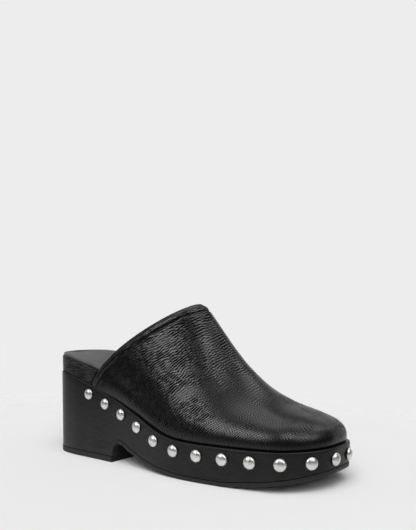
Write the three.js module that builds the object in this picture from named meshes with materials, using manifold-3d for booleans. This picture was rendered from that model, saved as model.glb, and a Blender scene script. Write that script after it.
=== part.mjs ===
// A women's platform clog for the right foot: a leather mule upper lasted onto a solid platform with a
// block heel, a thick leather-wrapped footbed under a thin insole, rubber treads below, and a row of domed
// nails driven in all round the edge. It stands on its sole. X runs from heel to toe, Y to the inner (big
// toe) side, Z up; the origin is the centre of the heel's flat ground face. All sizes are millimetres.
import * as THREE from "three";
import { mergeVertices } from "three/addons/utils/BufferGeometryUtils.js";
import Module from "manifold-3d";

const wasm = await Module();
wasm.setup();

// Platform and heel. Positions along the shoe are measured from the back of the heel.
const LENGTH = 244; // heel back to toe tip, on the platform's top edge
const HEEL_WIDTH = 66; // platform width at the heel
const BALL_WIDTH = 92; // platform width at the ball of the foot
const HEEL_HEIGHT = 64.4; // ground to the platform's top edge at the back
const PLATFORM_HEIGHT = 24.7; // ground to the platform's top edge at the ball
const TOE_SPRING = 10.7; // toe's underside above the ground
const ARCH_HEIGHT = 15; // underside above the ground just in front of the heel
const HEEL_BASE_LENGTH = 75; // heel back to the front edge of the heel's ground face
const BREAST_RUN = 8; // how far the heel's front face leans forward on its way up
const EDGE_BEVEL = 1; // bevel on the platform's top edge
const HEEL_DRAFT = 1.8; // how far the wall tapers in from the top edge to the ground, at the heel
const FOREFOOT_DRAFT = 1.9; // the same at the ball and toe
const TREAD = 2.8; // rubber under the forefoot
const HEEL_LIFT = 4.2; // rubber under the heel
const RUBBER_FLARE = 0.3; // how far the rubber stands out past the wall
const CLEARANCE = 0.3; // gap between pieces that meet

// Footbed and insole.
const FOOTBED_HEEL = 12.4; // footbed thickness at the heel
const FOOTBED_TOE = 3.4; // footbed thickness under the toes
const FOOTBED_INSET = 0.7; // foot of the footbed's side behind the platform's edge, at the heel
const FOOTBED_FLARE = 0.6; // how far that side leans out on its way up
const FOOTBED_ROUND = 1.2; // rounding of the footbed's top edge
const FOOTBED_GAP = 0.65; // footbed's side to the inside of the upper
const FOOTBED_DISH = 1.2; // hollow of the heel seat
const INSOLE = 1.7; // insole thickness
const INSOLE_INSET = 1.2; // insole's edge behind the platform's edge, at the heel
const INSOLE_FLUSH_TO = 36; // where the insole's edge starts to draw in under the upper

// Upper.
const UPPER_WALL = 2.1; // leather and lining together
const UPPER_INSET = 2.6; // upper's wall behind the platform's edge, from the waist to the toe
const TAIL_INSET = 0.7; // the same at its two back ends
const TUCK = 1.3; // how far the upper's foot tucks in under its wall
const TUCK_HEIGHT = 2.8; // height over which the tuck dies out
const TAIL_AT = 53; // back ends of the upper
const THROAT_AT = 131.6; // middle of the top line
const RIDGE_END_AT = 213; // where the ridge of the vamp turns down over the toes
const INSTEP_RISE = 92.7; // middle of the top line above the platform's top edge at the ball
const TOE_BOX_RISE = 21.8; // end of the ridge above the same edge
const BAND_WIDTH = 6; // turned and stitched band along the top line
const BAND_STEP = 0.8; // how far the band stands proud of the wall
const BAND_ROLL = 1; // roundness of the folded edge

// Nails.
const NAIL_HEAD = 8.2; // diameter of the dome
const NAIL_DOME = 2.3; // height of the dome over its rim
const NAIL_RIM = 0.4; // straight rim under the dome
const NAIL_SHANK = 2.2; // diameter of the shank
const NAIL_DEPTH = 7; // length of the shank
const NAIL_BELOW_EDGE = 7.1; // platform's top edge down to the nails
const NAIL_FIRST_AT = 50.6; // rearmost nail on the outer side
const NAIL_LAST_AT = 47.6; // rearmost nail on the inner side
const NAIL_SPACING = 19.8; // nail to nail; adjusted to a whole number of nails

// Mesh steps. Stations crowd together where the outline turns: a radian of turn counts as TURN_REACH more
// length.
const TURN_REACH = 40;
const OUTLINE_STEPS = 1440;
const SOLE_STATIONS = 36;
const FOOTBED_STATIONS = 32;
const UNDERSIDE_STEPS = 28;
const UPPER_COLUMNS = 24;
const UPPER_ROWS = 12;
const NAIL_SIDES = 12;
const SHANK_SIDES = 8;

// The platform's top edge in plan. along is a share of LENGTH; outer and inner are shares of the local
// width, which grows from HEEL_WIDTH to BALL_WIDTH between the two waist stations.
const WAIST_FROM = 0.25;
const WAIST_TO = 0.62;
const TIP_SIDE = 0.045;
const PLAN = [
  { along: 0.008, outer: 0.212, inner: 0.205 },
  { along: 0.033, outer: 0.361, inner: 0.348 },
  { along: 0.066, outer: 0.445, inner: 0.427 },
  { along: 0.123, outer: 0.494, inner: 0.474 },
  { along: 0.203, outer: 0.515, inner: 0.489 },
  { along: 0.279, outer: 0.526, inner: 0.484 },
  { along: 0.352, outer: 0.523, inner: 0.449 },
  { along: 0.426, outer: 0.51, inner: 0.425 },
  { along: 0.504, outer: 0.499, inner: 0.431 },
  { along: 0.578, outer: 0.493, inner: 0.453 },
  { along: 0.662, outer: 0.49, inner: 0.493 },
  { along: 0.746, outer: 0.477, inner: 0.511 },
  { along: 0.826, outer: 0.453, inner: 0.501 },
  { along: 0.907, outer: 0.399, inner: 0.446 },
  { along: 0.97, outer: 0.252, inner: 0.315 },
  { along: 0.99, outer: 0.152, inner: 0.228 },
  { along: 0.998, outer: 0.07, inner: 0.152 },
];

// Height of the platform's top edge: fall is a share of the drop from HEEL_HEIGHT to PLATFORM_HEIGHT,
// lift a share of TOE_SPRING.
const TOP_EDGE = [
  { along: 0, fall: 1, lift: 0 },
  { along: 0.05, fall: 0.985, lift: 0 },
  { along: 0.141, fall: 0.893, lift: 0 },
  { along: 0.205, fall: 0.784, lift: 0 },
  { along: 0.254, fall: 0.685, lift: 0 },
  { along: 0.34, fall: 0.525, lift: 0 },
  { along: 0.393, fall: 0.404, lift: 0 },
  { along: 0.443, fall: 0.287, lift: 0 },
  { along: 0.484, fall: 0.186, lift: 0 },
  { along: 0.516, fall: 0.113, lift: 0 },
  { along: 0.549, fall: 0.059, lift: 0 },
  { along: 0.582, fall: 0.025, lift: 0 },
  { along: 0.63, fall: 0.006, lift: 0 },
  { along: 0.7, fall: 0, lift: 0 },
  { along: 0.86, fall: 0, lift: 0.03 },
  { along: 0.922, fall: 0, lift: 0.055 },
  { along: 0.951, fall: 0, lift: 0.08 },
  { along: 1, fall: 0, lift: 0.15 },
];

// Underside from the heel's front face (0) to the toe tip (1): arch is a share of ARCH_HEIGHT, spring a
// share of TOE_SPRING. The stretch at zero is the flat spot under the ball.
const UNDERSIDE = [
  { share: 0, arch: 1, spring: 0 },
  { share: 0.028, arch: 0.94, spring: 0 },
  { share: 0.07, arch: 0.755, spring: 0 },
  { share: 0.12, arch: 0.565, spring: 0 },
  { share: 0.175, arch: 0.355, spring: 0 },
  { share: 0.28, arch: 0.13, spring: 0 },
  { share: 0.365, arch: 0.035, spring: 0 },
  { share: 0.41, arch: 0, spring: 0 },
  { share: 0.6, arch: 0, spring: 0 },
  { share: 0.69, arch: 0, spring: 0.135 },
  { share: 0.758, arch: 0, spring: 0.262 },
  { share: 0.814, arch: 0, spring: 0.39 },
  { share: 0.882, arch: 0, spring: 0.56 },
  { share: 0.93, arch: 0, spring: 0.71 },
  { share: 1, arch: 0, spring: 1 },
];

// The heel's front face from the ground (0) up into the arch (1): lean is a share of BREAST_RUN.
const BREAST = [
  { rise: 0, lean: 0 },
  { rise: 0.4, lean: 0.22 },
  { rise: 0.78, lean: 0.5 },
  { rise: 0.94, lean: 0.74 },
  { rise: 1, lean: 1 },
];

// The upper's ridge from the top line (0) over instep and vamp to where it turns down over the toes (1).
// rise is a share of the difference between INSTEP_RISE and TOE_BOX_RISE, side a share of BALL_WIDTH.
const RIDGE = [
  { share: 0, rise: 1, side: 0.012 },
  { share: 0.07, rise: 0.943, side: 0.014 },
  { share: 0.15, rise: 0.833, side: 0.017 },
  { share: 0.24, rise: 0.7, side: 0.021 },
  { share: 0.33, rise: 0.568, side: 0.025 },
  { share: 0.43, rise: 0.436, side: 0.03 },
  { share: 0.53, rise: 0.327, side: 0.034 },
  { share: 0.65, rise: 0.211, side: 0.038 },
  { share: 0.78, rise: 0.113, side: 0.042 },
  { share: 0.9, rise: 0.036, side: 0.044 },
  { share: 1, rise: 0, side: 0.045 },
];

// Ribs of the upper, each a curve from the platform's edge up to the ridge. share runs along the edge from
// a back end of the upper (0, where the rib is the top line itself) to the toe tip (1); top is where the
// rib meets the ridge. wall and crown are the curve's handles, as shares of its height and of its reach
// across; forward and outward tilt its start from the vertical.
const RIBS = [
  { share: 0, top: 0, wall: 0.46, crown: 0.262, forward: 0.32, outward: 0.04 },
  { share: 0.1, top: 0.16, wall: 0.47, crown: 0.345, forward: 0.3, outward: 0.05 },
  { share: 0.25, top: 0.4, wall: 0.48, crown: 0.44, forward: 0.22, outward: 0.09 },
  { share: 0.4, top: 0.62, wall: 0.5, crown: 0.47, forward: 0.1, outward: 0.15 },
  { share: 0.55, top: 0.8, wall: 0.56, crown: 0.5, forward: 0.03, outward: 0.2 },
  { share: 0.7, top: 0.91, wall: 0.66, crown: 0.56, forward: 0, outward: 0.2 },
  { share: 0.85, top: 0.97, wall: 0.72, crown: 0.6, forward: 0, outward: 0.24 },
  { share: 1, top: 1, wall: 0.74, crown: 0.62, forward: 0, outward: 0.26 },
];
const FAN_FROM = 0.45; // rib share where the ribs' upper ends start to fan out over the toes

// Value of a table's column at key, by a monotone cubic through its rows.
function follow(rows, keyName, column, key) {
  const last = rows.length - 1;
  let i = 0;
  while (i < last - 1 && key > rows[i + 1][keyName]) i += 1;
  const slope = (k) => (rows[k + 1][column] - rows[k][column]) / (rows[k + 1][keyName] - rows[k][keyName]);
  const tangent = (k) => {
    if (k === 0) return slope(0);
    if (k === last) return slope(last - 1);
    const before = slope(k - 1);
    const after = slope(k);
    return before * after <= 0 ? 0 : (2 * before * after) / (before + after);
  };
  const span = rows[i + 1][keyName] - rows[i][keyName];
  const t = THREE.MathUtils.clamp((key - rows[i][keyName]) / span, 0, 1);
  const t2 = t * t;
  const t3 = t2 * t;
  return (
    (2 * t3 - 3 * t2 + 1) * rows[i][column] +
    (t3 - 2 * t2 + t) * span * tangent(i) +
    (3 * t2 - 2 * t3) * rows[i + 1][column] +
    (t3 - t2) * span * tangent(i + 1)
  );
}

const mix = (a, b, t) => a + (b - a) * t;
const smooth = (from, to, value) => THREE.MathUtils.smoothstep(value, from, to);
const UP = new THREE.Vector3(0, 0, 1);

// Plan outline of the platform's top edge: a closed curve from the heel back along the outer side to the
// toe tip and back along the inner side. Each point carries its outward direction.
function planOutline() {
  const width = (along) => mix(HEEL_WIDTH, BALL_WIDTH, smooth(WAIST_FROM, WAIST_TO, along));
  const outer = PLAN.map((r) => new THREE.Vector3(r.along * LENGTH, -r.outer * width(r.along), 0));
  const inner = PLAN.map((r) => new THREE.Vector3(r.along * LENGTH, r.inner * width(r.along), 0));
  const toeTip = new THREE.Vector3(LENGTH, TIP_SIDE * BALL_WIDTH, 0);
  const knots = [new THREE.Vector3(), ...outer, toeTip, ...inner.reverse()];
  const points = new THREE.CatmullRomCurve3(knots, true, "centripetal").getPoints(OUTLINE_STEPS);
  points.pop();
  const n = points.length;
  return points.map((point, i) => {
    const ahead = points[(i + 1) % n].clone().sub(points[(i + n - 1) % n]).normalize();
    return { point, out: new THREE.Vector3(ahead.y, -ahead.x, 0) };
  });
}

const OUTLINE = planOutline();
const TIP = OUTLINE.reduce((best, q, i) => (q.point.x > OUTLINE[best].point.x ? i : best), 0);

// Each side of the outline, from the heel back to the toe tip.
const SIDES = {
  outer: OUTLINE.slice(0, TIP + 1),
  inner: [...OUTLINE.slice(TIP), OUTLINE[0]].reverse(),
};

// Finds the place at a share of the length of a row of outline points, in which turns count as length.
function walker(row, turnReach) {
  const reach = [0];
  for (let i = 1; i < row.length; i += 1) {
    const step = row[i].point.distanceTo(row[i - 1].point) + turnReach * row[i].out.angleTo(row[i - 1].out);
    reach.push(reach[i - 1] + step);
  }
  const total = reach[reach.length - 1];
  return (share) => {
    const wanted = THREE.MathUtils.clamp(share, 0, 1) * total;
    let low = 0;
    let high = row.length - 1;
    while (high - low > 1) {
      const middle = (low + high) >> 1;
      if (reach[middle] < wanted) low = middle;
      else high = middle;
    }
    const t = (wanted - reach[low]) / (reach[high] - reach[low]);
    return {
      point: row[low].point.clone().lerp(row[high].point, t),
      out: row[low].out.clone().lerp(row[high].out, t).normalize(),
    };
  };
}

// A ring of outline points with as many stations on each side, so that each faces one on the other side.
function pairedRing(count) {
  const outer = walker(SIDES.outer, TURN_REACH);
  const inner = walker(SIDES.inner, TURN_REACH);
  const ring = [OUTLINE[0]];
  for (let i = 1; i <= count; i += 1) ring.push(outer(i / (count + 1)));
  ring.push(OUTLINE[TIP]);
  for (let i = count; i >= 1; i -= 1) ring.push(inner(i / (count + 1)));
  return ring;
}

const topEdgeHeight = (x) =>
  PLATFORM_HEIGHT +
  (HEEL_HEIGHT - PLATFORM_HEIGHT) * follow(TOP_EDGE, "along", "fall", x / LENGTH) +
  TOE_SPRING * follow(TOP_EDGE, "along", "lift", x / LENGTH);

const BREAST_TOP_AT = HEEL_BASE_LENGTH + BREAST_RUN;

function undersideHeight(x) {
  const share = (x - BREAST_TOP_AT) / (LENGTH - BREAST_TOP_AT);
  return (
    ARCH_HEIGHT * follow(UNDERSIDE, "share", "arch", share) +
    TOE_SPRING * follow(UNDERSIDE, "share", "spring", share)
  );
}

// How steeply the platform's wall tapers in on its way down, and how far it has done so at height z.
const wallSlope = (x) =>
  mix(HEEL_DRAFT / HEEL_HEIGHT, FOREFOOT_DRAFT / PLATFORM_HEIGHT, smooth(WAIST_FROM, WAIST_TO, x / LENGTH));
const wallTaper = (x, z) => wallSlope(x) * (topEdgeHeight(x) - z);

// An outline point moved in by depth and set at height z.
const setIn = ({ point, out }, depth, z) => point.clone().addScaledVector(out, -depth).setZ(z);

// A closed solid through layers of paired rings, bottom first. The top is ruled across from side to side,
// with extra points at the shares in across, sunk by dish.
function stack(layers, dish = () => 0, across = []) {
  const positions = [];
  const index = [];
  const put = (p) => positions.push(p.x, p.y, p.z) / 3 - 1;
  const rings = layers.map((layer) => layer.map(put));
  const n = layers[0].length;
  for (let k = 0; k + 1 < rings.length; k += 1) {
    for (let i = 0; i < n; i += 1) {
      const j = (i + 1) % n;
      index.push(rings[k][i], rings[k][j], rings[k + 1][j], rings[k][i], rings[k + 1][j], rings[k + 1][i]);
    }
  }
  const cap = (ring, layer, shares, sink, flip) => {
    const rows = [];
    for (let i = 1; i < n / 2; i += 1) {
      const inside = shares.map((s) => {
        const p = layer[i].clone().lerp(layer[n - i], s);
        p.z -= sink(p.x) * (1 - (2 * s - 1) ** 2);
        return put(p);
      });
      rows.push([ring[i], ...inside, ring[n - i]]);
    }
    const face = (...t) => index.push(...(flip ? t.reverse() : t));
    const last = rows[rows.length - 1];
    for (let j = 0; j + 1 < last.length; j += 1) {
      face(ring[0], rows[0][j], rows[0][j + 1]);
      face(last[j], ring[n / 2], last[j + 1]);
      for (let i = 0; i + 1 < rows.length; i += 1) {
        face(rows[i][j], rows[i + 1][j], rows[i + 1][j + 1]);
        face(rows[i][j], rows[i + 1][j + 1], rows[i][j + 1]);
      }
    }
  };
  cap(rings[0], layers[0], [], () => 0, true);
  cap(rings[rings.length - 1], layers[layers.length - 1], across, dish, false);
  return meshOf(positions, index);
}

function meshOf(positions, index) {
  const geometry = new THREE.BufferGeometry();
  geometry.setAttribute("position", new THREE.Float32BufferAttribute(positions, 3));
  geometry.setIndex(index);
  return geometry;
}

function toSolid(geometry) {
  const bare = new THREE.BufferGeometry();
  bare.setAttribute("position", geometry.getAttribute("position").clone());
  if (geometry.index) bare.setIndex(geometry.index.clone());
  const merged = mergeVertices(bare, 1e-4);
  const corners = Array.from(merged.index.array);
  const triVerts = [];
  for (let i = 0; i < corners.length; i += 3) {
    const [a, b, c] = corners.slice(i, i + 3);
    if (a !== b && b !== c && c !== a) triVerts.push(a, b, c);
  }
  const vertProperties = new Float32Array(merged.attributes.position.array);
  const mesh = new wasm.Mesh({ numProp: 3, vertProperties, triVerts: new Uint32Array(triVerts) });
  return new wasm.Manifold(mesh);
}

function toGeometry(solid) {
  const mesh = solid.getMesh();
  return meshOf(Array.from(mesh.vertProperties), Array.from(mesh.triVerts));
}

// A slab right across the shoe, from a side view given as [x, z] pairs.
function sideSlab(profile) {
  const shape = new THREE.Shape(profile.map(([x, z]) => new THREE.Vector2(x, z)));
  const depth = 4 * BALL_WIDTH;
  const geometry = new THREE.ExtrudeGeometry(shape, { depth, bevelEnabled: false });
  geometry.rotateX(Math.PI / 2).translate(0, depth / 2, 0);
  return toSolid(geometry);
}

const BACK = -LENGTH;
const FRONT = 2 * LENGTH;
const SKY = 3 * (HEEL_HEIGHT + INSTEP_RISE);

// The block of platform and heel before its underside is cut, standing out by flare.
function block(flare) {
  const ring = pairedRing(SOLE_STATIONS);
  const low = -HEEL_LIFT;
  const layer = (depth, height) => ring.map((q) => setIn(q, depth(q.point.x) - flare, height(q.point.x)));
  const bevelFoot = (x) => topEdgeHeight(x) - EDGE_BEVEL;
  return toSolid(
    stack([
      layer((x) => wallTaper(x, low), () => low),
      layer((x) => wallTaper(x, bevelFoot(x)), bevelFoot),
      layer(() => EDGE_BEVEL, topEdgeHeight),
    ]),
  );
}

// Side view of the underside from x on, raised by lift.
function undersideLine(from, lift) {
  const line = [];
  for (let k = 0; k <= UNDERSIDE_STEPS; k += 1) {
    const x = mix(from, LENGTH, k / UNDERSIDE_STEPS);
    line.push([x, undersideHeight(x) + lift]);
  }
  line.push([FRONT, undersideHeight(LENGTH) + lift]);
  return line;
}

// Side view of the heel's front face from height low up.
function breastLine(low) {
  const line = BREAST.map((r) => [HEEL_BASE_LENGTH + r.lean * BREAST_RUN, r.rise * ARCH_HEIGHT]);
  const start = HEEL_BASE_LENGTH + BREAST_RUN * follow(BREAST, "rise", "lean", low / ARCH_HEIGHT);
  return [[start, low], ...line.filter(([, z]) => z > low + CLEARANCE)];
}

function soleUnit(nails) {
  const breast = breastLine(HEEL_LIFT + CLEARANCE);
  const arch = undersideLine(BREAST_TOP_AT, TREAD + CLEARANCE);
  const profile = [[BACK, HEEL_LIFT + CLEARANCE], ...breast, ...arch, [FRONT, SKY], [BACK, SKY]];
  let solid = block(0).intersect(sideSlab(profile));
  for (const nail of nails) {
    const radius = NAIL_SHANK / 2 + CLEARANCE;
    const bore = new THREE.CylinderGeometry(radius, radius, 2 * (NAIL_DEPTH + CLEARANCE), SHANK_SIDES);
    solid = solid.subtract(toSolid(bore.rotateX(Math.PI / 2).applyMatrix4(nail)));
  }
  return solid;
}

function forefootTread() {
  const from = BREAST_TOP_AT + CLEARANCE;
  const profile = [...undersideLine(from, 0), ...undersideLine(from, TREAD).reverse()];
  return block(RUBBER_FLARE).intersect(sideSlab(profile));
}

function heelTopLift() {
  const front = breastLine(HEEL_LIFT)[0][0];
  const profile = [
    [BACK, 0],
    [HEEL_BASE_LENGTH, 0],
    [front, HEEL_LIFT],
    [BACK, HEEL_LIFT],
  ];
  return block(RUBBER_FLARE).intersect(sideSlab(profile));
}

// How far the upper's wall stands behind the platform's edge, and how far its foot tucks in below that.
const upperInset = (x) => mix(TAIL_INSET, UPPER_INSET, smooth(TAIL_AT, THROAT_AT, x));
const upperTuck = (x) => TUCK * mix(0.25, 1, smooth(TAIL_AT, THROAT_AT, x));

// The stretch of each side of the outline that carries the upper, from its back end to the toe tip.
const FOOT = {
  outer: walker(SIDES.outer.filter((q) => q.point.x >= TAIL_AT), TURN_REACH),
  inner: walker(SIDES.inner.filter((q) => q.point.x >= TAIL_AT), TURN_REACH),
};

function ridgePoint(share) {
  const rise = mix(TOE_BOX_RISE, INSTEP_RISE, follow(RIDGE, "share", "rise", share));
  return new THREE.Vector3(
    mix(THROAT_AT, RIDGE_END_AT, share),
    BALL_WIDTH * follow(RIDGE, "share", "side", share),
    PLATFORM_HEIGHT + rise,
  );
}

function ridgeAhead(share) {
  const step = 0.01;
  const from = Math.max(share - step, 0);
  const to = Math.min(share + step, 1);
  return ridgePoint(to).sub(ridgePoint(from)).normalize();
}

// One rib as a cubic curve, with the outward direction at its foot and the ridge's direction at its head.
function rib(side, share) {
  const { point, out } = FOOT[side](share);
  const foot = point.clone().addScaledVector(out, -upperInset(point.x));
  foot.z = topEdgeHeight(foot.x) + CLEARANCE;
  const column = (name) => follow(RIBS, "share", name, share);
  const head = ridgePoint(column("top"));
  const inward = side === "outer" ? 1 : -1;
  const ahead = new THREE.Vector3(-out.y, out.x, 0).multiplyScalar(inward);
  const start = UP.clone().addScaledVector(ahead, column("forward"));
  start.addScaledVector(out, column("outward")).normalize();
  const wall = foot.clone().addScaledVector(start, column("wall") * (head.z - foot.z));
  const over = head.clone().sub(foot).setZ(0);
  const reach = over.length();
  const fan = smooth(FAN_FROM, 1, share);
  const arrive = new THREE.Vector3(0, inward, 0).lerp(over.normalize(), fan).normalize();
  const along = ridgeAhead(column("top"));
  arrive.z = (arrive.x * along.z) / along.x;
  const crown = head.clone().addScaledVector(arrive.normalize(), -column("crown") * reach);
  return { curve: new THREE.CubicBezierCurve3(foot, wall, crown, head), out, along };
}

// Point and outward normal of the upper's outer face, on rib share at t from foot (0) to ridge (1).
function upperFace(side, share, t) {
  const step = 0.002;
  const { curve, out, along } = rib(side, share);
  const point = curve.getPoint(t);
  const normal = new THREE.Vector3();
  if (t === 0) {
    normal.copy(out);
  } else if (t > 0.99) {
    normal.crossVectors(along, new THREE.Vector3(0, 1, 0)).normalize();
  } else {
    const from = rib(side, Math.max(share - step, 0)).curve.getPoint(t);
    const to = rib(side, Math.min(share + step, 1)).curve.getPoint(t);
    const inward = side === "outer" ? 1 : -1;
    normal.crossVectors(to.sub(from), curve.getTangent(t)).multiplyScalar(inward).normalize();
  }
  return { point, normal, out };
}

// The heights of the rows on a rib: close together over the tuck at its foot, then nearly even.
const ROWS_IN_TUCK = 3;
function rowAt(side, share, row) {
  const { curve } = rib(side, share);
  const tuckTop = TUCK_HEIGHT / (3 * (curve.v1.z - curve.v0.z));
  if (row < ROWS_IN_TUCK) return [0, 0.4, 1][row] * tuckTop;
  return mix(tuckTop, 1, ((row - ROWS_IN_TUCK + 1) / (UPPER_ROWS - ROWS_IN_TUCK)) ** 0.9);
}

// Shares of the columns on a row: the band along the top line, its step down, then even to the toe tip.
const BAND_COLUMNS = 3;
function columnShares(side, row) {
  const near = 1e-3;
  const t = rowAt(side, 0, row);
  const next = upperFace(side, near, rowAt(side, near, row)).point;
  const spread = next.distanceTo(upperFace(side, 0, t).point) / near;
  const band = (BAND_WIDTH * mix(0.68, 1, smooth(0, 0.4, t))) / spread;
  const foot = band + BAND_STEP / spread;
  const list = [0, band / 2, band, foot];
  for (let k = 1; k <= UPPER_COLUMNS; k += 1) list.push(mix(foot, 1, k / UPPER_COLUMNS));
  return list;
}

// The upper: two sides of ribs that share the ridge and the toe tip's rib. Its outer face has the band
// along the top line standing proud, its inner face lies one wall behind it, the top line's edge is rolled
// and its foot is flat.
function upperGeometry() {
  const positions = [];
  const index = [];
  const put = (p) => positions.push(p.x, p.y, p.z) / 3 - 1;
  const ontoPlatform = (p) => p.setZ(topEdgeHeight(p.x) + CLEARANCE);
  const top = UPPER_ROWS - 1;
  const sheets = {};
  for (const side of ["outer", "inner"]) {
    const outside = [];
    const inside = [];
    const roll = [];
    for (let row = 0; row <= top; row += 1) {
      const shares = columnShares(side, row);
      const lastColumn = shares.length - 1;
      shares.forEach((share, c) => {
        outside[c] ??= [];
        inside[c] ??= [];
        if (side === "inner" && (c === lastColumn || row === top)) {
          outside[c][row] = sheets.outer.outside[c][row];
          inside[c][row] = sheets.outer.inside[c][row];
          return;
        }
        const { point, normal, out } = upperFace(side, share, rowAt(side, share, row));
        point.addScaledVector(out, -upperTuck(point.x) * ([1, 0.36][row] ?? 0));
        const outerPoint = point.clone().addScaledVector(normal, c < BAND_COLUMNS ? BAND_STEP : 0);
        const innerPoint = point.clone().addScaledVector(normal, -UPPER_WALL);
        if (row === 0) [outerPoint, innerPoint].forEach(ontoPlatform);
        outside[c][row] = put(outerPoint);
        inside[c][row] = put(innerPoint);
        if (c > 0) return;
        const next = upperFace(side, 1e-3, rowAt(side, 1e-3, row)).point;
        const back = upperFace(side, 0, rowAt(side, 0, row)).point.sub(next).normalize();
        const edge = outerPoint.clone().lerp(innerPoint, 0.5).addScaledVector(back, BAND_ROLL);
        roll[row] = put(row === 0 ? ontoPlatform(edge) : edge);
      });
    }
    roll[top] ??= sheets.outer.roll[top];
    sheets[side] = { outside, inside, roll };
    const face = (...t) => index.push(...(side === "inner" ? t.reverse() : t));
    const quad = (a, b, c, d) => {
      face(a, b, c);
      face(a, c, d);
    };
    for (let c = 0; c + 1 < outside.length; c += 1) {
      for (let r = 0; r < top; r += 1) {
        quad(outside[c][r], outside[c + 1][r], outside[c + 1][r + 1], outside[c][r + 1]);
        quad(inside[c][r], inside[c][r + 1], inside[c + 1][r + 1], inside[c + 1][r]);
      }
      quad(outside[c + 1][0], outside[c][0], inside[c][0], inside[c + 1][0]);
    }
    for (let r = 0; r < top; r += 1) {
      quad(outside[0][r], outside[0][r + 1], roll[r + 1], roll[r]);
      quad(roll[r], roll[r + 1], inside[0][r + 1], inside[0][r]);
    }
    face(outside[0][0], roll[0], inside[0][0]);
  }
  return meshOf(positions, index);
}

// Footbed. Behind the top line it reaches out to the platform's edge; further forward it lies inside the
// upper.
const insideUpper = (x) => upperInset(x) + upperTuck(x) + UPPER_WALL + FOOTBED_GAP;
const footbedThickness = (x) => mix(FOOTBED_HEEL, FOOTBED_TOE, smooth(WAIST_FROM, WAIST_TO, x / LENGTH));
const footbedTop = (x) => topEdgeHeight(x) + CLEARANCE + footbedThickness(x);
const heelDish = (x) => FOOTBED_DISH * (1 - smooth(TAIL_AT, THROAT_AT, x));
const ACROSS = [0.25, 0.5, 0.75];

function footbed() {
  const ring = pairedRing(FOOTBED_STATIONS);
  const layer = (depth, height) => ring.map((q) => setIn(q, depth(q.point.x), height(q.point.x)));
  const rim = FOOTBED_INSET - FOOTBED_FLARE;
  const side = (depth, drop) => layer(() => rim + depth, (x) => footbedTop(x) - drop);
  const blank = stack(
    [
      layer(() => FOOTBED_INSET, (x) => topEdgeHeight(x) + CLEARANCE),
      side(0, FOOTBED_ROUND),
      side(0.3 * FOOTBED_ROUND, 0.3 * FOOTBED_ROUND),
      side(FOOTBED_ROUND, 0),
    ],
    heelDish,
    ACROSS,
  );
  const line = [0, 0.02, 0.04, 0.08, 0.16, 0.24].map((t) => {
    const edge = ["outer", "inner"].flatMap((side) => {
      const { point, normal } = upperFace(side, 0, t);
      return [point, point.clone().addScaledVector(normal, -UPPER_WALL)];
    });
    const backmost = Math.min(...edge.map((p) => p.x));
    return [backmost - BAND_ROLL - CLEARANCE, Math.max(...edge.map((p) => p.z))];
  });
  const behind = sideSlab([[BACK, 0], [line[0][0], 0], ...line, [line.at(-1)[0], SKY], [BACK, SKY]]);
  const column = toSolid(stack([layer(insideUpper, () => 0), layer(insideUpper, () => SKY)]));
  return toSolid(blank).intersect(behind.add(column));
}

function insoleGeometry() {
  const ring = pairedRing(FOOTBED_STATIONS);
  const forward = (x) => insideUpper(x) + FOOTBED_ROUND / 2;
  const inset = (x) => mix(INSOLE_INSET, forward(x), smooth(INSOLE_FLUSH_TO, TAIL_AT, x));
  const layer = (depth, rise) =>
    ring.map((q) => setIn(q, inset(q.point.x) + depth, footbedTop(q.point.x) + CLEARANCE + rise));
  const bevel = INSOLE / 3;
  return stack([layer(0, 0), layer(0, INSOLE - bevel), layer(bevel, INSOLE)], heelDish, ACROSS);
}

// A domed nail, its shank along -Z and the underside of its head at zero.
function nailGeometry() {
  const head = NAIL_HEAD / 2;
  const shank = NAIL_SHANK / 2;
  const dome = [0.35, 0.68].map((turn) => {
    const angle = (turn * Math.PI) / 2;
    return new THREE.Vector2(head * Math.cos(angle), NAIL_RIM + NAIL_DOME * Math.sin(angle));
  });
  const profile = [
    new THREE.Vector2(0, -NAIL_DEPTH),
    new THREE.Vector2(shank, -NAIL_DEPTH),
    new THREE.Vector2(shank, 0),
    new THREE.Vector2(head, 0),
    new THREE.Vector2(head, NAIL_RIM),
    ...dome,
    new THREE.Vector2(0, NAIL_RIM + NAIL_DOME),
  ];
  return toGeometry(toSolid(new THREE.LatheGeometry(profile, NAIL_SIDES).rotateX(Math.PI / 2)));
}

// Where the nails sit: evenly along the platform's wall, from one side round the toe to the other.
function nailPlaces() {
  const row = OUTLINE.filter(({ point }, i) => point.x >= (i < TIP ? NAIL_FIRST_AT : NAIL_LAST_AT));
  const wall = row.map((q) => {
    const z = topEdgeHeight(q.point.x) - NAIL_BELOW_EDGE;
    return { point: setIn(q, wallTaper(q.point.x, z), z), out: q.out };
  });
  let total = 0;
  for (let i = 1; i < wall.length; i += 1) total += wall[i].point.distanceTo(wall[i - 1].point);
  const gaps = Math.max(1, Math.round(total / NAIL_SPACING));
  const at = walker(wall, 0);
  const places = [];
  for (let k = 0; k <= gaps; k += 1) {
    const { point, out } = at(k / gaps);
    const facing = out.clone().addScaledVector(UP, -wallSlope(point.x)).normalize();
    const ahead = new THREE.Vector3().crossVectors(UP, facing).normalize();
    const up = new THREE.Vector3().crossVectors(facing, ahead);
    const frame = new THREE.Matrix4().makeBasis(ahead, up, facing);
    places.push(frame.setPosition(point.addScaledVector(facing, CLEARANCE)));
  }
  return places;
}

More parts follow.
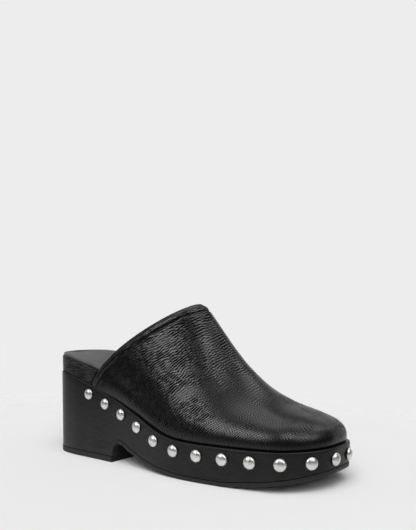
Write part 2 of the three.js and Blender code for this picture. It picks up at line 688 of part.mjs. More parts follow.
const upperLeather = new THREE.MeshStandardMaterial({ color: 0x1d1c1e, roughness: 0.55, metalness: 0 });
const footbedLeather = new THREE.MeshStandardMaterial({ color: 0x242325, roughness: 0.5, metalness: 0 });
const insoleLeather = new THREE.MeshStandardMaterial({ color: 0x3b3a3c, roughness: 0.6, metalness: 0 });
const soleBlack = new THREE.MeshStandardMaterial({ color: 0x1a1a1b, roughness: 0.42, metalness: 0 });
const rubber = new THREE.MeshStandardMaterial({ color: 0x141414, roughness: 0.75, metalness: 0 });
const nickel = new THREE.MeshStandardMaterial({ color: 0xb9b8b6, roughness: 0.28, metalness: 1 });

// The whole shoe, shifted so that the origin is the centre of the heel's ground face.
const shoe = new THREE.Group();
shoe.position.set(-HEEL_BASE_LENGTH / 2, 0, 0);

function place(name, geometry, material) {
  geometry.computeVertexNormals();
  const mesh = new THREE.Mesh(geometry, material);
  mesh.name = name;
  shoe.add(mesh);
  return mesh;
}

const nails = nailPlaces();
place("sole_unit", toGeometry(soleUnit(nails)), soleBlack);
place("forefoot_tread", toGeometry(forefootTread()), rubber);
place("heel_top_lift", toGeometry(heelTopLift()), rubber);
place("footbed", toGeometry(footbed()), footbedLeather);
place("insole", insoleGeometry(), insoleLeather);
place("upper", upperGeometry(), upperLeather);
nails.forEach((frame, k) => {
  const nail = place(`nail_${String(k + 1).padStart(2, "0")}`, nailGeometry(), nickel);
  nail.applyMatrix4(frame);
});

const clog = new THREE.Group();
clog.add(shoe);

export default clog;
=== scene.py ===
# A women's platform clog for the right foot: black pebbled leather upper, leather-wrapped footbed, smooth
# insole, satin black platform with a block heel, rubber treads and polished domed nails.
# Sizes are in millimetres from the back of the heel; the meshes are moved into the frame, in metres.
import math

import bpy
import numpy as np
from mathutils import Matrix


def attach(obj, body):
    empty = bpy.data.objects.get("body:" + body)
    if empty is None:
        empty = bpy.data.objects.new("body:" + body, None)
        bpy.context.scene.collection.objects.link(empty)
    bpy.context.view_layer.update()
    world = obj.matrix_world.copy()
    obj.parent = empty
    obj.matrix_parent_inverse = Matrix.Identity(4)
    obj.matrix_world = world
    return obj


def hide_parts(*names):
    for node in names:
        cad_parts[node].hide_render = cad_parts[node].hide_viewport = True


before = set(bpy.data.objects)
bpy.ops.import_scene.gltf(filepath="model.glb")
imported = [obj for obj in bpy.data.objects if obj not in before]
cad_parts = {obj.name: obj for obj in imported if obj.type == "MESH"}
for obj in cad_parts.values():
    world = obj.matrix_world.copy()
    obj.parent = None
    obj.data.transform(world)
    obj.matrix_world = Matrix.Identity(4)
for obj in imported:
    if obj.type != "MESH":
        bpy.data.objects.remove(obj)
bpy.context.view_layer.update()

MM = 0.001

# Platform and heel.
LENGTH = 244.0
HEEL_WIDTH = 66.0
BALL_WIDTH = 92.0
HEEL_HEIGHT = 64.4
PLATFORM_HEIGHT = 24.7
TOE_SPRING = 10.7
ARCH_HEIGHT = 15.0
HEEL_BASE_LENGTH = 75.0
BREAST_RUN = 8.0
BREAST_TOP_AT = HEEL_BASE_LENGTH + BREAST_RUN
EDGE_ROUND = 1.0
UNDER_ROUND = 0.25
HEEL_DRAFT = 1.8
FOREFOOT_DRAFT = 1.9
TREAD = 2.8
HEEL_LIFT = 4.2
HEEL_LIFT_AHEAD = 0.6
RUBBER_FLARE = 0.3
CLEARANCE = 0.3
RUBBER_ROUND = 0.5

# Footbed and insole.
FOOTBED_HEEL = 12.4
FOOTBED_TOE = 3.4
FOOTBED_INSET = 0.7
FOOTBED_FLARE = 0.6
FOOTBED_ROUND = 1.2
FOOTBED_UNDER_ROUND = 0.5
FOOTBED_GAP = 0.65
FOOTBED_DISH = 1.2
FOOTBED_STEP_IN = (-0.4, 0.3)
INSOLE = 1.7
INSOLE_SINK = 0.1
INSOLE_INSET = 1.2
INSOLE_FLUSH_TO = 36.0
INSOLE_ROUND = 0.6
INSOLE_UNDER_ROUND = 0.1

# Upper. Its tuck draws the wall in at its very foot, and fades over TUCK_HEIGHT and towards the tail.
UPPER_WALL = 2.1
UPPER_INSET = 2.6
TAIL_INSET = 0.7
TUCK = 0.5
TUCK_HEIGHT = 1.4
TAIL_TUCK_SHARE = 0.25
TAIL_AT = 53.0
THROAT_AT = 131.6
RIDGE_END_AT = 213.0
INSTEP_RISE = 92.7
TOE_BOX_RISE = 21.8

# Nails.
NAIL_HEAD = 8.2
NAIL_DOME = 2.3
NAIL_RIM = 0.4
NAIL_SHOULDER = 0.12
NAIL_SEAT_SHARE = 0.55
NAIL_BELOW_EDGE = 7.1
NAIL_FIRST_AT = 50.6
NAIL_LAST_AT = 47.6
NAIL_SPACING = 19.8

# Outline and ribs. A radian of turn counts as TURN_REACH of length where the ribs are spaced, and the waist
# is the stretch, in shares of LENGTH, over which heel sizes change into forefoot sizes.
TURN_REACH = 40.0
WAIST_FROM = 0.25
WAIST_TO = 0.62
TIP_SIDE = 0.045
FAN_FROM = 0.45

# The platform's top edge in plan: shares of LENGTH and of the local width.
PLAN_COLUMNS = ("along", "outer", "inner")
PLAN = (
    (0.008, 0.212, 0.205),
    (0.033, 0.361, 0.348),
    (0.066, 0.445, 0.427),
    (0.123, 0.494, 0.474),
    (0.203, 0.515, 0.489),
    (0.279, 0.526, 0.484),
    (0.352, 0.523, 0.449),
    (0.426, 0.510, 0.425),
    (0.504, 0.499, 0.431),
    (0.578, 0.493, 0.453),
    (0.662, 0.490, 0.493),
    (0.746, 0.477, 0.511),
    (0.826, 0.453, 0.501),
    (0.907, 0.399, 0.446),
    (0.970, 0.252, 0.315),
    (0.990, 0.152, 0.228),
    (0.998, 0.070, 0.152),
)

# Height of the platform's top edge: shares of the drop from heel to forefoot and of the toe spring.
TOP_EDGE_COLUMNS = ("along", "fall", "lift")
TOP_EDGE = (
    (0, 1, 0),
    (0.050, 0.985, 0),
    (0.141, 0.893, 0),
    (0.205, 0.784, 0),
    (0.254, 0.685, 0),
    (0.340, 0.525, 0),
    (0.393, 0.404, 0),
    (0.443, 0.287, 0),
    (0.484, 0.186, 0),
    (0.516, 0.113, 0),
    (0.549, 0.059, 0),
    (0.582, 0.025, 0),
    (0.630, 0.006, 0),
    (0.700, 0, 0),
    (0.860, 0, 0.030),
    (0.922, 0, 0.055),
    (0.951, 0, 0.080),
    (1, 0, 0.150),
)

# Underside in front of the heel: shares of ARCH_HEIGHT and TOE_SPRING.
UNDERSIDE_COLUMNS = ("share", "arch", "spring")
UNDERSIDE = (
    (0, 1, 0),
    (0.028, 0.940, 0),
    (0.070, 0.755, 0),
    (0.120, 0.565, 0),
    (0.175, 0.355, 0),
    (0.280, 0.130, 0),
    (0.365, 0.035, 0),
    (0.410, 0, 0),
    (0.600, 0, 0),
    (0.690, 0, 0.135),
    (0.758, 0, 0.262),
    (0.814, 0, 0.390),
    (0.882, 0, 0.560),
    (0.930, 0, 0.710),
    (1, 0, 1),
)

# The heel's front face: rise is a share of ARCH_HEIGHT, lean of BREAST_RUN.
BREAST_COLUMNS = ("lean", "rise")
BREAST = (
    (0.00, 0.00),
    (0.22, 0.40),
    (0.50, 0.78),
    (0.74, 0.94),
    (1.00, 1.00),
)

# The upper's ridge from the top line to the toes: rise is a share of its drop, side of BALL_WIDTH.
RIDGE_COLUMNS = ("share", "rise", "side")
RIDGE = (
    (0.00, 1.000, 0.012),
    (0.07, 0.943, 0.014),
    (0.15, 0.833, 0.017),
    (0.24, 0.700, 0.021),
    (0.33, 0.568, 0.025),
    (0.43, 0.436, 0.030),
    (0.53, 0.327, 0.034),
    (0.65, 0.211, 0.038),
    (0.78, 0.113, 0.042),
    (0.90, 0.036, 0.044),
    (1.00, 0.000, 0.045),
)

# The upper's ribs, from the top line (0) to the toe tip (1).
RIB_COLUMNS = ("share", "top", "wall", "crown", "forward", "outward")
RIBS = (
    (0.00, 0.00, 0.46, 0.262, 0.32, 0.04),
    (0.10, 0.16, 0.47, 0.345, 0.30, 0.05),
    (0.25, 0.40, 0.48, 0.440, 0.22, 0.09),
    (0.40, 0.62, 0.50, 0.470, 0.10, 0.15),
    (0.55, 0.80, 0.56, 0.500, 0.03, 0.20),
    (0.70, 0.91, 0.66, 0.560, 0.00, 0.20),
    (0.85, 0.97, 0.72, 0.600, 0.00, 0.24),
    (1.00, 1.00, 0.74, 0.620, 0.00, 0.26),
)

# Creases and dents of the upper: each runs along a line given as shares of the side's foot (0 top line,
# 1 toe tip) and of the rib (0 foot, 1 ridge), with its width and depth in millimetres; a raised fold has a
# negative depth.
CREASE_COLUMNS = ("side", "width", "depth", "line")
CREASES = (
    ("outer", 6.0, -0.55, ((0.02, 0.10), (0.12, 0.10), (0.26, 0.085))),
    ("outer", 7.0, 0.9, ((0.0, 0.24), (0.12, 0.22), (0.28, 0.17))),
    ("inner", 6.0, -0.45, ((0.02, 0.10), (0.12, 0.10), (0.26, 0.085))),
    ("inner", 7.0, 0.7, ((0.0, 0.24), (0.12, 0.22), (0.28, 0.17))),
    ("outer", 5.0, 0.6, ((0.77, 0.20), (0.795, 0.34), (0.81, 0.5))),
    ("outer", 4.0, 0.5, ((0.45, 0.62), (0.56, 0.55), (0.66, 0.50), (0.72, 0.47))),
    ("inner", 4.5, 0.4, ((0.48, 0.62), (0.58, 0.55), (0.68, 0.50))),
    ("inner", 5.0, 0.35, ((0.72, 0.22), (0.75, 0.36), (0.76, 0.5))),
)
CREASE_STEPS = 40
CREASE_FADE = 0.6

# The turned band along the top line: a swell that rises and falls over shares of the band's width, and
# beyond it a sewn groove that wanders a little, faint towards the tail. Heights are shares of a rib.
BAND_WIDTH = 7.6
BAND_TAIL_WIDTH = 4.1
BAND_FULL_FROM = 0.4
BAND_ROLL = 1.0
BAND_SWELL = 0.6
SWELL_RISES_TO = 0.5
SWELL_FALLS_OVER = (0.6, 1.05)
SEAM_DEPTH = 0.55
SEAM_WIDTH = 0.75
SEAM_LEAST = 0.35
SEAM_STRONG_OVER = (0.16, 0.42)
SEAM_CALMER_OVER = (0.8, 1.0)
SEAM_CALM = 0.45
SEAM_DULLNESS = 0.8

# Leather pressed up beyond the groove.
WELT_HEIGHT = 0.3
WELT_AWAY = 2.4
WELT_WIDTH = 1.6

# Waves along the band: rate in radians per millimetre, size and start. The groove wanders by the first
# ones; the puckers cross it, and with the stitches they break up its dullness.
SEAM_WANDER = ((0.19, 0.5, 0.7), (0.53, 0.3, 0.0))
PUCKERS = ((0.23, 1.0, 0.4), (0.41, 0.8, 2.1), (0.67, 0.6, 4.4), (1.05, 0.35, 1.3))
PUCKER_DEPTH = 0.3
PUCKER_REACH = 3.2
STITCH_MEAN = 0.65
STITCH_SWING = 0.6
STITCH_LIMITS = (0.1, 1)

# Grain of the leather: short ridges that run up the ribs, as a sum of waves a ridge's pitch apart. They lean
# towards the toes down both sides, with a bend of GRAIN_BEND over the upper's ridge.
GRAIN_PITCH = 2.1
GRAIN_PITCH_SPREAD = 0.16
GRAIN_RIDGE_LENGTH = 6.8
GRAIN_LEAN = 0.26
GRAIN_BEND = 15.0
GRAIN_WAVES = 70
GRAIN_SEED = 11
GRAIN_SQUARENESS = 0.9
GRAIN_HEIGHT = 0.16

# Broad patches of stronger and weaker grain.
PATCH_SIZE = 34.0
PATCH_SPREAD = 0.4
PATCH_LENGTH = 40.0
PATCH_WAVES = 12
PATCH_SEED = 5
PATCH_STRENGTH = 0.25
PATCH_LIMITS = (0.4, 1.5)

# Where the grain is fainter. AT is the share left there and LOST the share that goes; OVER is the stretch
# of the change in millimetres from the top line, HEIGHTS in shares of a rib.
GRAIN_AT_EDGE = 0.6
EDGE_OVER = (0, 6)
GRAIN_LOST_AT_TOE = 0.3
TOE_OVER = (100, 140)
GRAIN_LOST_ON_VAMP = 0.6
VAMP_OVER = (48, 80)
VAMP_HEIGHTS = (0.28, 0.55)
GRAIN_AT_FOOT = 0.3
FOOT_HEIGHTS = (0.03, 0.13)
RELIEF_FULL_FROM = 0.05

# Mesh of the upper: rows from foot to ridge, crowded in the lowest FOOT_ROWS, and columns from the top line
# to the toe tip, parallel to it within BAND_REACH. The inside has one column in INSIDE_STEP, which divides
# the steps between all the columns evenly.
UPPER_ROWS = 64
FOOT_ROWS = 6
FOOT_SHARE = 0.045
FOOT_CROWDING = 1.2
EVEN_ROWS_FROM = 14
BAND_COLUMNS = 34
BAND_REACH = 14.0
WALL_COLUMNS = 615
INSIDE_STEP = 9
ROLL_STEPS = 7
PATH_STEPS = 700

# Blends of the upper's outward direction: into the crest's at the ridge, and out of the sole's at the foot.
CREST_BLEND = (0.95, 0.995)
FOOT_BLEND = (0.0, 0.02)
FACE_STEP = 0.002
RIDGE_STEP = 0.01

# Meshes of the other pieces.
OUTLINE_STEPS = 1440
ROUND_STEPS = 4
ACROSS_STEPS = 12
DEPTH_TURNS = 3
SOLE_STATIONS = 230
FOOTBED_STATIONS = 200
INSOLE_STATIONS = 160
STATION_GAP = 0.4
TOP_LINE_STRETCH = (-3, 20)
TOP_LINE_STEPS = 61
TOP_LINE_LOW = 0.3
BREAST_STATIONS = (0.0, 0.05, 0.1, 0.165, 0.2, 0.3, 0.4, 0.5, 0.62, 0.74)
ARCH_STATIONS = (-1.2, -0.6, -0.01, 0.01, 1, 2, 3, 4.5, 6)
SOLE_WALL_ROWS = 10
TREAD_WALL_ROWS = 2
LIFT_WALL_ROWS = 3
FOOTBED_WALL_ROWS = 14
INSOLE_WALL_ROWS = 2
NAIL_SIDES = 40
DOME_STEPS = 12

# Angles over which an edge is shaded sharp, in degrees.
UPPER_SHARP = 55
SOLE_SHARP = 40
FOOTBED_SHARP = 70
NAIL_SHARP = 50

# Colours: the darkest and the palest tone of each material.
UPPER_TONES = ((0.0012, 0.0012, 0.0013), (0.0026, 0.0025, 0.0027))
FOOTBED_TONES = ((0.003, 0.003, 0.0031), (0.007, 0.0069, 0.0071))
INSOLE_TONES = ((0.034, 0.0335, 0.0345), (0.046, 0.0455, 0.0465))
SOLE_TONES = ((0.002, 0.002, 0.0021), (0.0036, 0.0036, 0.0037))
RUBBER_TONES = ((0.002, 0.002, 0.002), (0.004, 0.004, 0.0039))
NAIL_TONES = ((0.74, 0.735, 0.725), (0.83, 0.825, 0.815))

# The shader's socket for gloss, and bumps of the materials in millimetres.
GLOSS = "Specular IOR Level"
SKIN_BUMP = 0.05
FOOTBED_BUMP = 0.22
INSOLE_BUMP = 0.06
SOLE_BUMP = 0.05
RUBBER_BUMP = 0.1
NAIL_BUMP = 0.02

# The treads' ribs: radians per millimetre along the shoe, and height beside the rubber's own texture.
TREAD_RIB_RATE = 2.4
TREAD_RIB_HEIGHT = 2.5

# The floor, in metres: a round sheet, solid in the middle and clear towards its edge.
FLOOR_RADIUS = 0.55
FLOOR_SIDES = 96
FLOOR_AHEAD = 0.08
FLOOR_SOLID_TO = 0.18
FLOOR_CLEAR_FROM = 0.8
FLOOR_TONE = 0.76

# Surroundings: greys of the dome that lights the floor and of the backdrop behind the shoe. The shoe mirrors
# the backdrop round its middle, BACKDROP_TURN degrees from +X towards +Y: SIDES are cosines of the turn away
# from it, and TOP sines of the height over the horizon.
DOME = 0.2
BACKDROP = 0.847
BACKDROP_TURN = 126.0
BACKDROP_SIDES = (0.1, 0.7)
BACKDROP_TOP = (0.3, 0.65)

# What the shoe mirrors of the rest of the studio, by the sine of the height: dark low down.
GLOW = (
    (0.0, 0.02),
    (0.4, 0.04),
    (0.6, 0.08),
    (0.8, 0.2),
    (1.0, 0.4),
)

# Soft lights: azimuth turns from +X towards +Y, spread is the light's own width, both in degrees, and power
# its irradiance. The mirrored ones show as highlights, the others light what is dull.
LIGHT_COLUMNS = ("name", "azimuth", "elevation", "spread", "power", "mirrored")
LIGHTS = (
    ("left_softbox", -117.0, 38.0, 31.0, 1.02, True),
    ("front_softbox", -40.0, 54.0, 26.0, 0.78, True),
    ("right_softbox", -2.0, 36.0, 34.0, 0.62, True),
    ("back_softbox", 155.0, 66.0, 44.0, 0.6, True),
    ("far_softbox", 68.0, 56.0, 30.0, 0.4, True),
    ("overhead_fill", -60.0, 66.0, 60.0, 1.6, False),
    ("front_fill", -58.0, 36.0, 46.0, 2.3, False),
)

# Camera: its place, its turn from +Y and its tilt in degrees, and its focal length in pixels of the image.
IMAGE_HEIGHT = 530
CAMERA_FOCUS = 650.0
CAMERA_AT = (426.0, -388.9, 110.75)
CAMERA_TURN = 36.353
CAMERA_UP = 4.239
SENSOR_HEIGHT = 36.0
CLIP_START = 0.01


class Table:
    """A table of named columns, read between its rows by a monotone cubic along the first column."""

    SAMPLES = 2001

    def __init__(self, columns, rows):
        values = np.array(rows, float)
        keys = values[:, 0]
        self.grid = np.linspace(keys[0], keys[-1], self.SAMPLES)
        self.curves = {}
        for name, column in zip(columns[1:], values[:, 1:].T):
            self.curves[name] = self._curve(keys, column)

    def _curve(self, keys, column):
        slopes = np.diff(column) / np.diff(keys)
        tangents = np.empty(len(keys))
        tangents[0], tangents[-1] = slopes[0], slopes[-1]
        before, after = slopes[:-1], slopes[1:]
        total = np.where(before + after == 0, 1, before + after)
        tangents[1:-1] = np.where(before * after <= 0, 0, 2 * before * after / total)
        i = np.clip(np.searchsorted(keys, self.grid) - 1, 0, len(keys) - 2)
        span = np.diff(keys)[i]
        t = (self.grid - keys[i]) / span
        t2, t3 = t * t, t**3
        return (
            (2 * t3 - 3 * t2 + 1) * column[i]
            + (t3 - 2 * t2 + t) * span * tangents[i]
            + (3 * t2 - 2 * t3) * column[i + 1]
            + (t3 - t2) * span * tangents[i + 1]
        )

    def __call__(self, name, key):
        return np.interp(key, self.grid, self.curves[name])


plan = dict(zip(PLAN_COLUMNS, np.array(PLAN).T))
top_edge = Table(TOP_EDGE_COLUMNS, TOP_EDGE)
underside = Table(UNDERSIDE_COLUMNS, UNDERSIDE)
breast = Table(BREAST_COLUMNS, BREAST)
ridge = Table(RIDGE_COLUMNS, RIDGE)
ribs = Table(RIB_COLUMNS, RIBS)


def smooth(low, high, value):
    t = np.clip((value - low) / (high - low), 0, 1)
    return t * t * (3 - 2 * t)


def mix(a, b, t):
    return a + (b - a) * t


def unit(vectors):
    return vectors / np.maximum(np.linalg.norm(vectors, axis=-1, keepdims=True), 1e-12)


def stacked(x, y, z):
    return np.stack(np.broadcast_arrays(x, y, z), axis=-1)


def path_length(place, axis):
    step = np.linalg.norm(np.diff(place, axis=axis), axis=-1)
    zero = np.zeros_like(np.take(step, [0], axis=axis))
    return np.concatenate([zero, np.cumsum(step, axis=axis)], axis=axis)


def between(place, keys, rows):
    """Rows of values read in a straight line between the keys."""
    return np.stack([np.interp(place, keys, column) for column in rows.T], -1)


def bell(distance, width):
    return np.exp(-((distance / width) ** 2))


# The platform's outline.
def closed_spline(knots, count):
    """Points on a closed centripetal spline through the knots."""
    n = len(knots)
    place = np.arange(count) * n / count
    at = place.astype(int)
    weight = (place - at)[:, None]
    p0, p1, p2, p3 = (knots[(at + k) % n] for k in (-1, 0, 1, 2))
    pairs = ((p0, p1), (p1, p2), (p2, p3))
    d0, d1, d2 = (np.sqrt(np.linalg.norm(b - a, axis=1))[:, None] for a, b in pairs)
    t1 = d1 * ((p1 - p0) / d0 - (p2 - p0) / (d0 + d1) + (p2 - p1) / d1)
    t2 = d1 * ((p2 - p1) / d1 - (p3 - p1) / (d1 + d2) + (p3 - p2) / d2)
    c2 = -3 * p1 + 3 * p2 - 2 * t1 - t2
    c3 = 2 * p1 - 2 * p2 + t1 + t2
    return p1 + t1 * weight + c2 * weight**2 + c3 * weight**3


def plan_outline():
    """The platform's top edge in plan, from the heel along the outer side, and its outward directions."""
    width = mix(HEEL_WIDTH, BALL_WIDTH, smooth(WAIST_FROM, WAIST_TO, plan["along"]))
    x = plan["along"] * LENGTH
    outer = np.stack([x, -plan["outer"] * width], 1)
    inner = np.stack([x, plan["inner"] * width], 1)
    knots = np.vstack([[[0, 0]], outer, [[LENGTH, TIP_SIDE * BALL_WIDTH]], inner[::-1]])
    points = closed_spline(knots, OUTLINE_STEPS)
    ahead = unit(np.roll(points, -1, 0) - np.roll(points, 1, 0))
    return points, np.stack([ahead[:, 1], -ahead[:, 0]], 1)


OUTLINE, OUTWARD = plan_outline()
TIP = int(np.argmax(OUTLINE[:, 0]))
SIDES = {
    "outer": (OUTLINE[: TIP + 1], OUTWARD[: TIP + 1]),
    "inner": (
        np.vstack([OUTLINE[TIP:], OUTLINE[:1]])[::-1],
        np.vstack([OUTWARD[TIP:], OUTWARD[:1]])[::-1],
    ),
}
INWARD = {"outer": 1.0, "inner": -1.0}


class Walker:
    """Places along the stretch of a side's outline that carries the upper, with turns counted as length."""

    def __init__(self, points, outs):
        carries = points[:, 0] >= TAIL_AT
        points, outs = points[carries], outs[carries]
        step = np.linalg.norm(np.diff(points, axis=0), axis=1)
        turn = np.arccos(np.clip((outs[1:] * outs[:-1]).sum(1), -1, 1))
        reach = np.concatenate([[0], np.cumsum(step + TURN_REACH * turn)])
        self.share = reach / reach[-1]
        self.points = points
        self.outs = outs

    def __call__(self, share):
        return between(share, self.share, self.points), unit(between(share, self.share, self.outs))


# Heights and depths along the shoe.
def top_edge_height(x):
    fall = (HEEL_HEIGHT - PLATFORM_HEIGHT) * top_edge("fall", x / LENGTH)
    return PLATFORM_HEIGHT + fall + TOE_SPRING * top_edge("lift", x / LENGTH)


def underside_height(x):
    share = (x - BREAST_TOP_AT) / (LENGTH - BREAST_TOP_AT)
    return ARCH_HEIGHT * underside("arch", share) + TOE_SPRING * underside("spring", share)


def wall_slope(x):
    at = smooth(WAIST_FROM, WAIST_TO, x / LENGTH)
    return mix(HEEL_DRAFT / HEEL_HEIGHT, FOREFOOT_DRAFT / PLATFORM_HEIGHT, at)


def wall_taper(x, z):
    return wall_slope(x) * (top_edge_height(x) - z)


def footbed_top(x):
    thickness = mix(FOOTBED_HEEL, FOOTBED_TOE, smooth(WAIST_FROM, WAIST_TO, x / LENGTH))
    return top_edge_height(x) + CLEARANCE + thickness


def heel_dish(x):
    return FOOTBED_DISH * (1 - smooth(TAIL_AT, THROAT_AT, x))


def upper_inset(x):
    return mix(TAIL_INSET, UPPER_INSET, smooth(TAIL_AT, THROAT_AT, x))


def upper_tuck(x):
    return TUCK * mix(TAIL_TUCK_SHARE, 1, smooth(TAIL_AT, THROAT_AT, x))


def inside_upper(x):
    return upper_inset(x) + upper_tuck(x) + UPPER_WALL + FOOTBED_GAP


# The upper's surface.
FOOT = {side: Walker(*rows) for side, rows in SIDES.items()}


def ridge_point(share):
    x = mix(THROAT_AT, RIDGE_END_AT, share)
    rise = mix(TOE_BOX_RISE, INSTEP_RISE, ridge("rise", share))
    return stacked(x, BALL_WIDTH * ridge("side", share), PLATFORM_HEIGHT + rise)


def ridge_ahead(share):
    after = ridge_point(np.minimum(share + RIDGE_STEP, 1))
    return unit(after - ridge_point(np.maximum(share - RIDGE_STEP, 0)))


def rib(side, share):
    """Four control points of the ribs at the shares, the outward direction at their feet, and the ridge's."""
    inward = INWARD[side]
    point, out = FOOT[side](share)
    foot = point - out * upper_inset(point[..., :1])
    foot = stacked(foot[..., 0], foot[..., 1], top_edge_height(foot[..., 0]) + CLEARANCE)
    out = stacked(out[..., 0], out[..., 1], 0.0)
    head = ridge_point(ribs("top", share))
    ahead = stacked(-out[..., 1], out[..., 0], 0.0) * inward
    forward, outward = ribs("forward", share)[..., None], ribs("outward", share)[..., None]
    start = unit(np.array([0, 0, 1.0]) + ahead * forward + out * outward)
    rise = (head[..., 2] - foot[..., 2])[..., None]
    wall = foot + start * ribs("wall", share)[..., None] * rise
    over = (head - foot) * [1, 1, 0]
    reach = np.linalg.norm(over, axis=-1, keepdims=True)
    fan = smooth(FAN_FROM, 1, share)[..., None]
    arrive = unit(mix(np.array([0, inward, 0.0]), over / reach, fan))
    along = ridge_ahead(ribs("top", share))
    arrive[..., 2] = arrive[..., 0] * along[..., 2] / along[..., 0]
    crown = head - unit(arrive) * ribs("crown", share)[..., None] * reach
    return (foot, wall, crown, head), out, along


def on_rib(points, t):
    t = t[..., None]
    s = 1 - t
    a, b, c, d = points
    return s**3 * a + 3 * s * s * t * b + 3 * s * t * t * c + t**3 * d


def rib_tangent(points, t):
    t = t[..., None]
    s = 1 - t
    a, b, c, d = points
    return 3 * s * s * (b - a) + 6 * s * t * (c - b) + 3 * t * t * (d - c)


def upper_face(side, share, t):
    """Points, outward normals and foot directions of the upper's plain outer face."""
    points, out, along = rib(side, share)
    place = on_rib(points, t)
    before = on_rib(rib(side, np.maximum(share - FACE_STEP, 0))[0], t)
    after = on_rib(rib(side, np.minimum(share + FACE_STEP, 1))[0], t)
    normal = unit(np.cross(after - before, rib_tangent(points, t)) * INWARD[side])
    crest = unit(np.cross(along, np.array([0, 1.0, 0])))
    normal = unit(mix(normal, crest, smooth(*CREST_BLEND, t)[..., None]))
    return place, unit(mix(normal, out, 1 - smooth(*FOOT_BLEND, t)[..., None])), out


# Meshes.
def to_frame(points):
    return (np.asarray(points, float) - [HEEL_BASE_LENGTH / 2, 0, 0]) * MM


def put_in_scene(name, data):
    made = bpy.data.objects.new(name, data)
    bpy.context.scene.collection.objects.link(made)
    return made


def mesh_object(name, points, faces, sharp, grain):
    """A smooth-shaded mesh piece from points in millimetres, with edges over the sharp angle kept. Grain
    tells its material crests from furrows."""
    mesh = bpy.data.meshes.new(name)
    mesh.from_pydata(to_frame(points).tolist(), [], faces)
    mesh.validate()
    mesh.polygons.foreach_set("use_smooth", np.ones(len(mesh.polygons), bool))
    mesh.set_sharp_from_angle(angle=math.radians(sharp))
    layer = mesh.attributes.new("grain", "FLOAT", "POINT")
    layer.data.foreach_set("value", np.asarray(grain, np.float32))
    mesh.update()
    return put_in_scene(name, mesh)


class Sheet:
    """Collects points and faces; add() returns the grid of point numbers."""

    def __init__(self):
        self.points = []
        self.grains = []
        self.faces = []
        self.count = 0

    def add(self, grid, grain=None):
        shape = grid.shape[:-1]
        flat = grid.reshape(-1, 3)
        self.points.append(flat)
        self.grains.append(np.full(len(flat), 0.5) if grain is None else grain.ravel())
        numbers = np.arange(self.count, self.count + len(flat)).reshape(shape)
        self.count += len(flat)
        return numbers

    def quads(self, grid, flip=False, closed=False):
        """Faces between the rows and columns of a grid of point numbers, closed from its last row to its
        first; a face that has shrunk to a line is left out."""
        if closed:
            grid = np.vstack([grid, grid[:1]])
        a, b, c, d = grid[:-1, :-1], grid[1:, :-1], grid[1:, 1:], grid[:-1, 1:]
        quad = np.stack([a, d, c, b] if flip else [a, b, c, d], -1).reshape(-1, 4)
        for face in quad.tolist():
            kept = [p for k, p in enumerate(face) if p != face[k - 1]]
            if len(set(kept)) > 2:
                self.faces.append(kept)

    def build(self, name, sharp):
        return mesh_object(name, np.vstack(self.points), self.faces, sharp, np.concatenate(self.grains))


# The upper's relief.
def crease_line(side, line):
    """Points along a crease on the upper's face, and the crease's strength, which fades at both ends."""
    marks = np.array(line, float)
    spread = np.linspace(0, 1, len(marks))
    fine = np.linspace(0, 1, CREASE_STEPS)
    shares = np.interp(fine, spread, marks[:, 0])
    heights = np.interp(fine, spread, marks[:, 1])
    return on_rib(rib(side, shares)[0], heights), np.sin(np.pi * fine) ** CREASE_FADE


def crease_depth(place):
    total = np.zeros(place.shape[:-1])
    for row in CREASES:
        crease = dict(zip(CREASE_COLUMNS, row))
        points, strength = crease_line(crease["side"], crease["line"])
        gap = np.linalg.norm(place[..., None, :] - points, axis=-1)
        total += crease["depth"] * (strength * bell(gap, crease["width"])).max(axis=-1)
    return total


def waves(rows, along):
    """A sum of sine waves from rows of rate, size and start."""
    return sum(size * np.sin(rate * along + start) for rate, size, start in rows)


def band_relief(from_edge, up, t):
    """The turned band along the top line: a soft swell, its sewn groove and the puckers across it. Given
    back with how deep the groove is at each point, from 0 to 1."""
    width = mix(BAND_TAIL_WIDTH, BAND_WIDTH, smooth(0, BAND_FULL_FROM, t))
    inside = from_edge / width
    swell = BAND_SWELL * smooth(0, SWELL_RISES_TO, inside) * (1 - smooth(*SWELL_FALLS_OVER, inside))
    away = from_edge - width - waves(SEAM_WANDER, up)
    strong = smooth(*SEAM_STRONG_OVER, t) * (1 - SEAM_CALM * smooth(*SEAM_CALMER_OVER, t))
    furrow = mix(SEAM_LEAST, 1, strong) * bell(away, SEAM_WIDTH)
    puckers = waves(PUCKERS, up)
    pucker = PUCKER_DEPTH * strong * puckers * bell(away, PUCKER_REACH)
    welt = WELT_HEIGHT * strong * bell(away - WELT_AWAY, WELT_WIDTH)
    stitches = furrow * np.clip(STITCH_MEAN + STITCH_SWING * puckers, *STITCH_LIMITS)
    return swell - SEAM_DEPTH * furrow + pucker + welt, stitches


def wave_field(across, up, pitch, spread, length, count, seed):
    """Even noise of unit spread whose ridges lie a pitch apart and run on for about a length."""
    random = np.random.default_rng(seed)
    total = np.zeros(across.shape)
    for _ in range(count):
        rate = 2 * math.pi / (pitch * math.exp(spread * random.normal()))
        tilt = 2 * math.pi / length * random.normal()
        total += np.sin(rate * across + tilt * up + random.uniform(0, 2 * math.pi))
    return total * math.sqrt(2 / count)


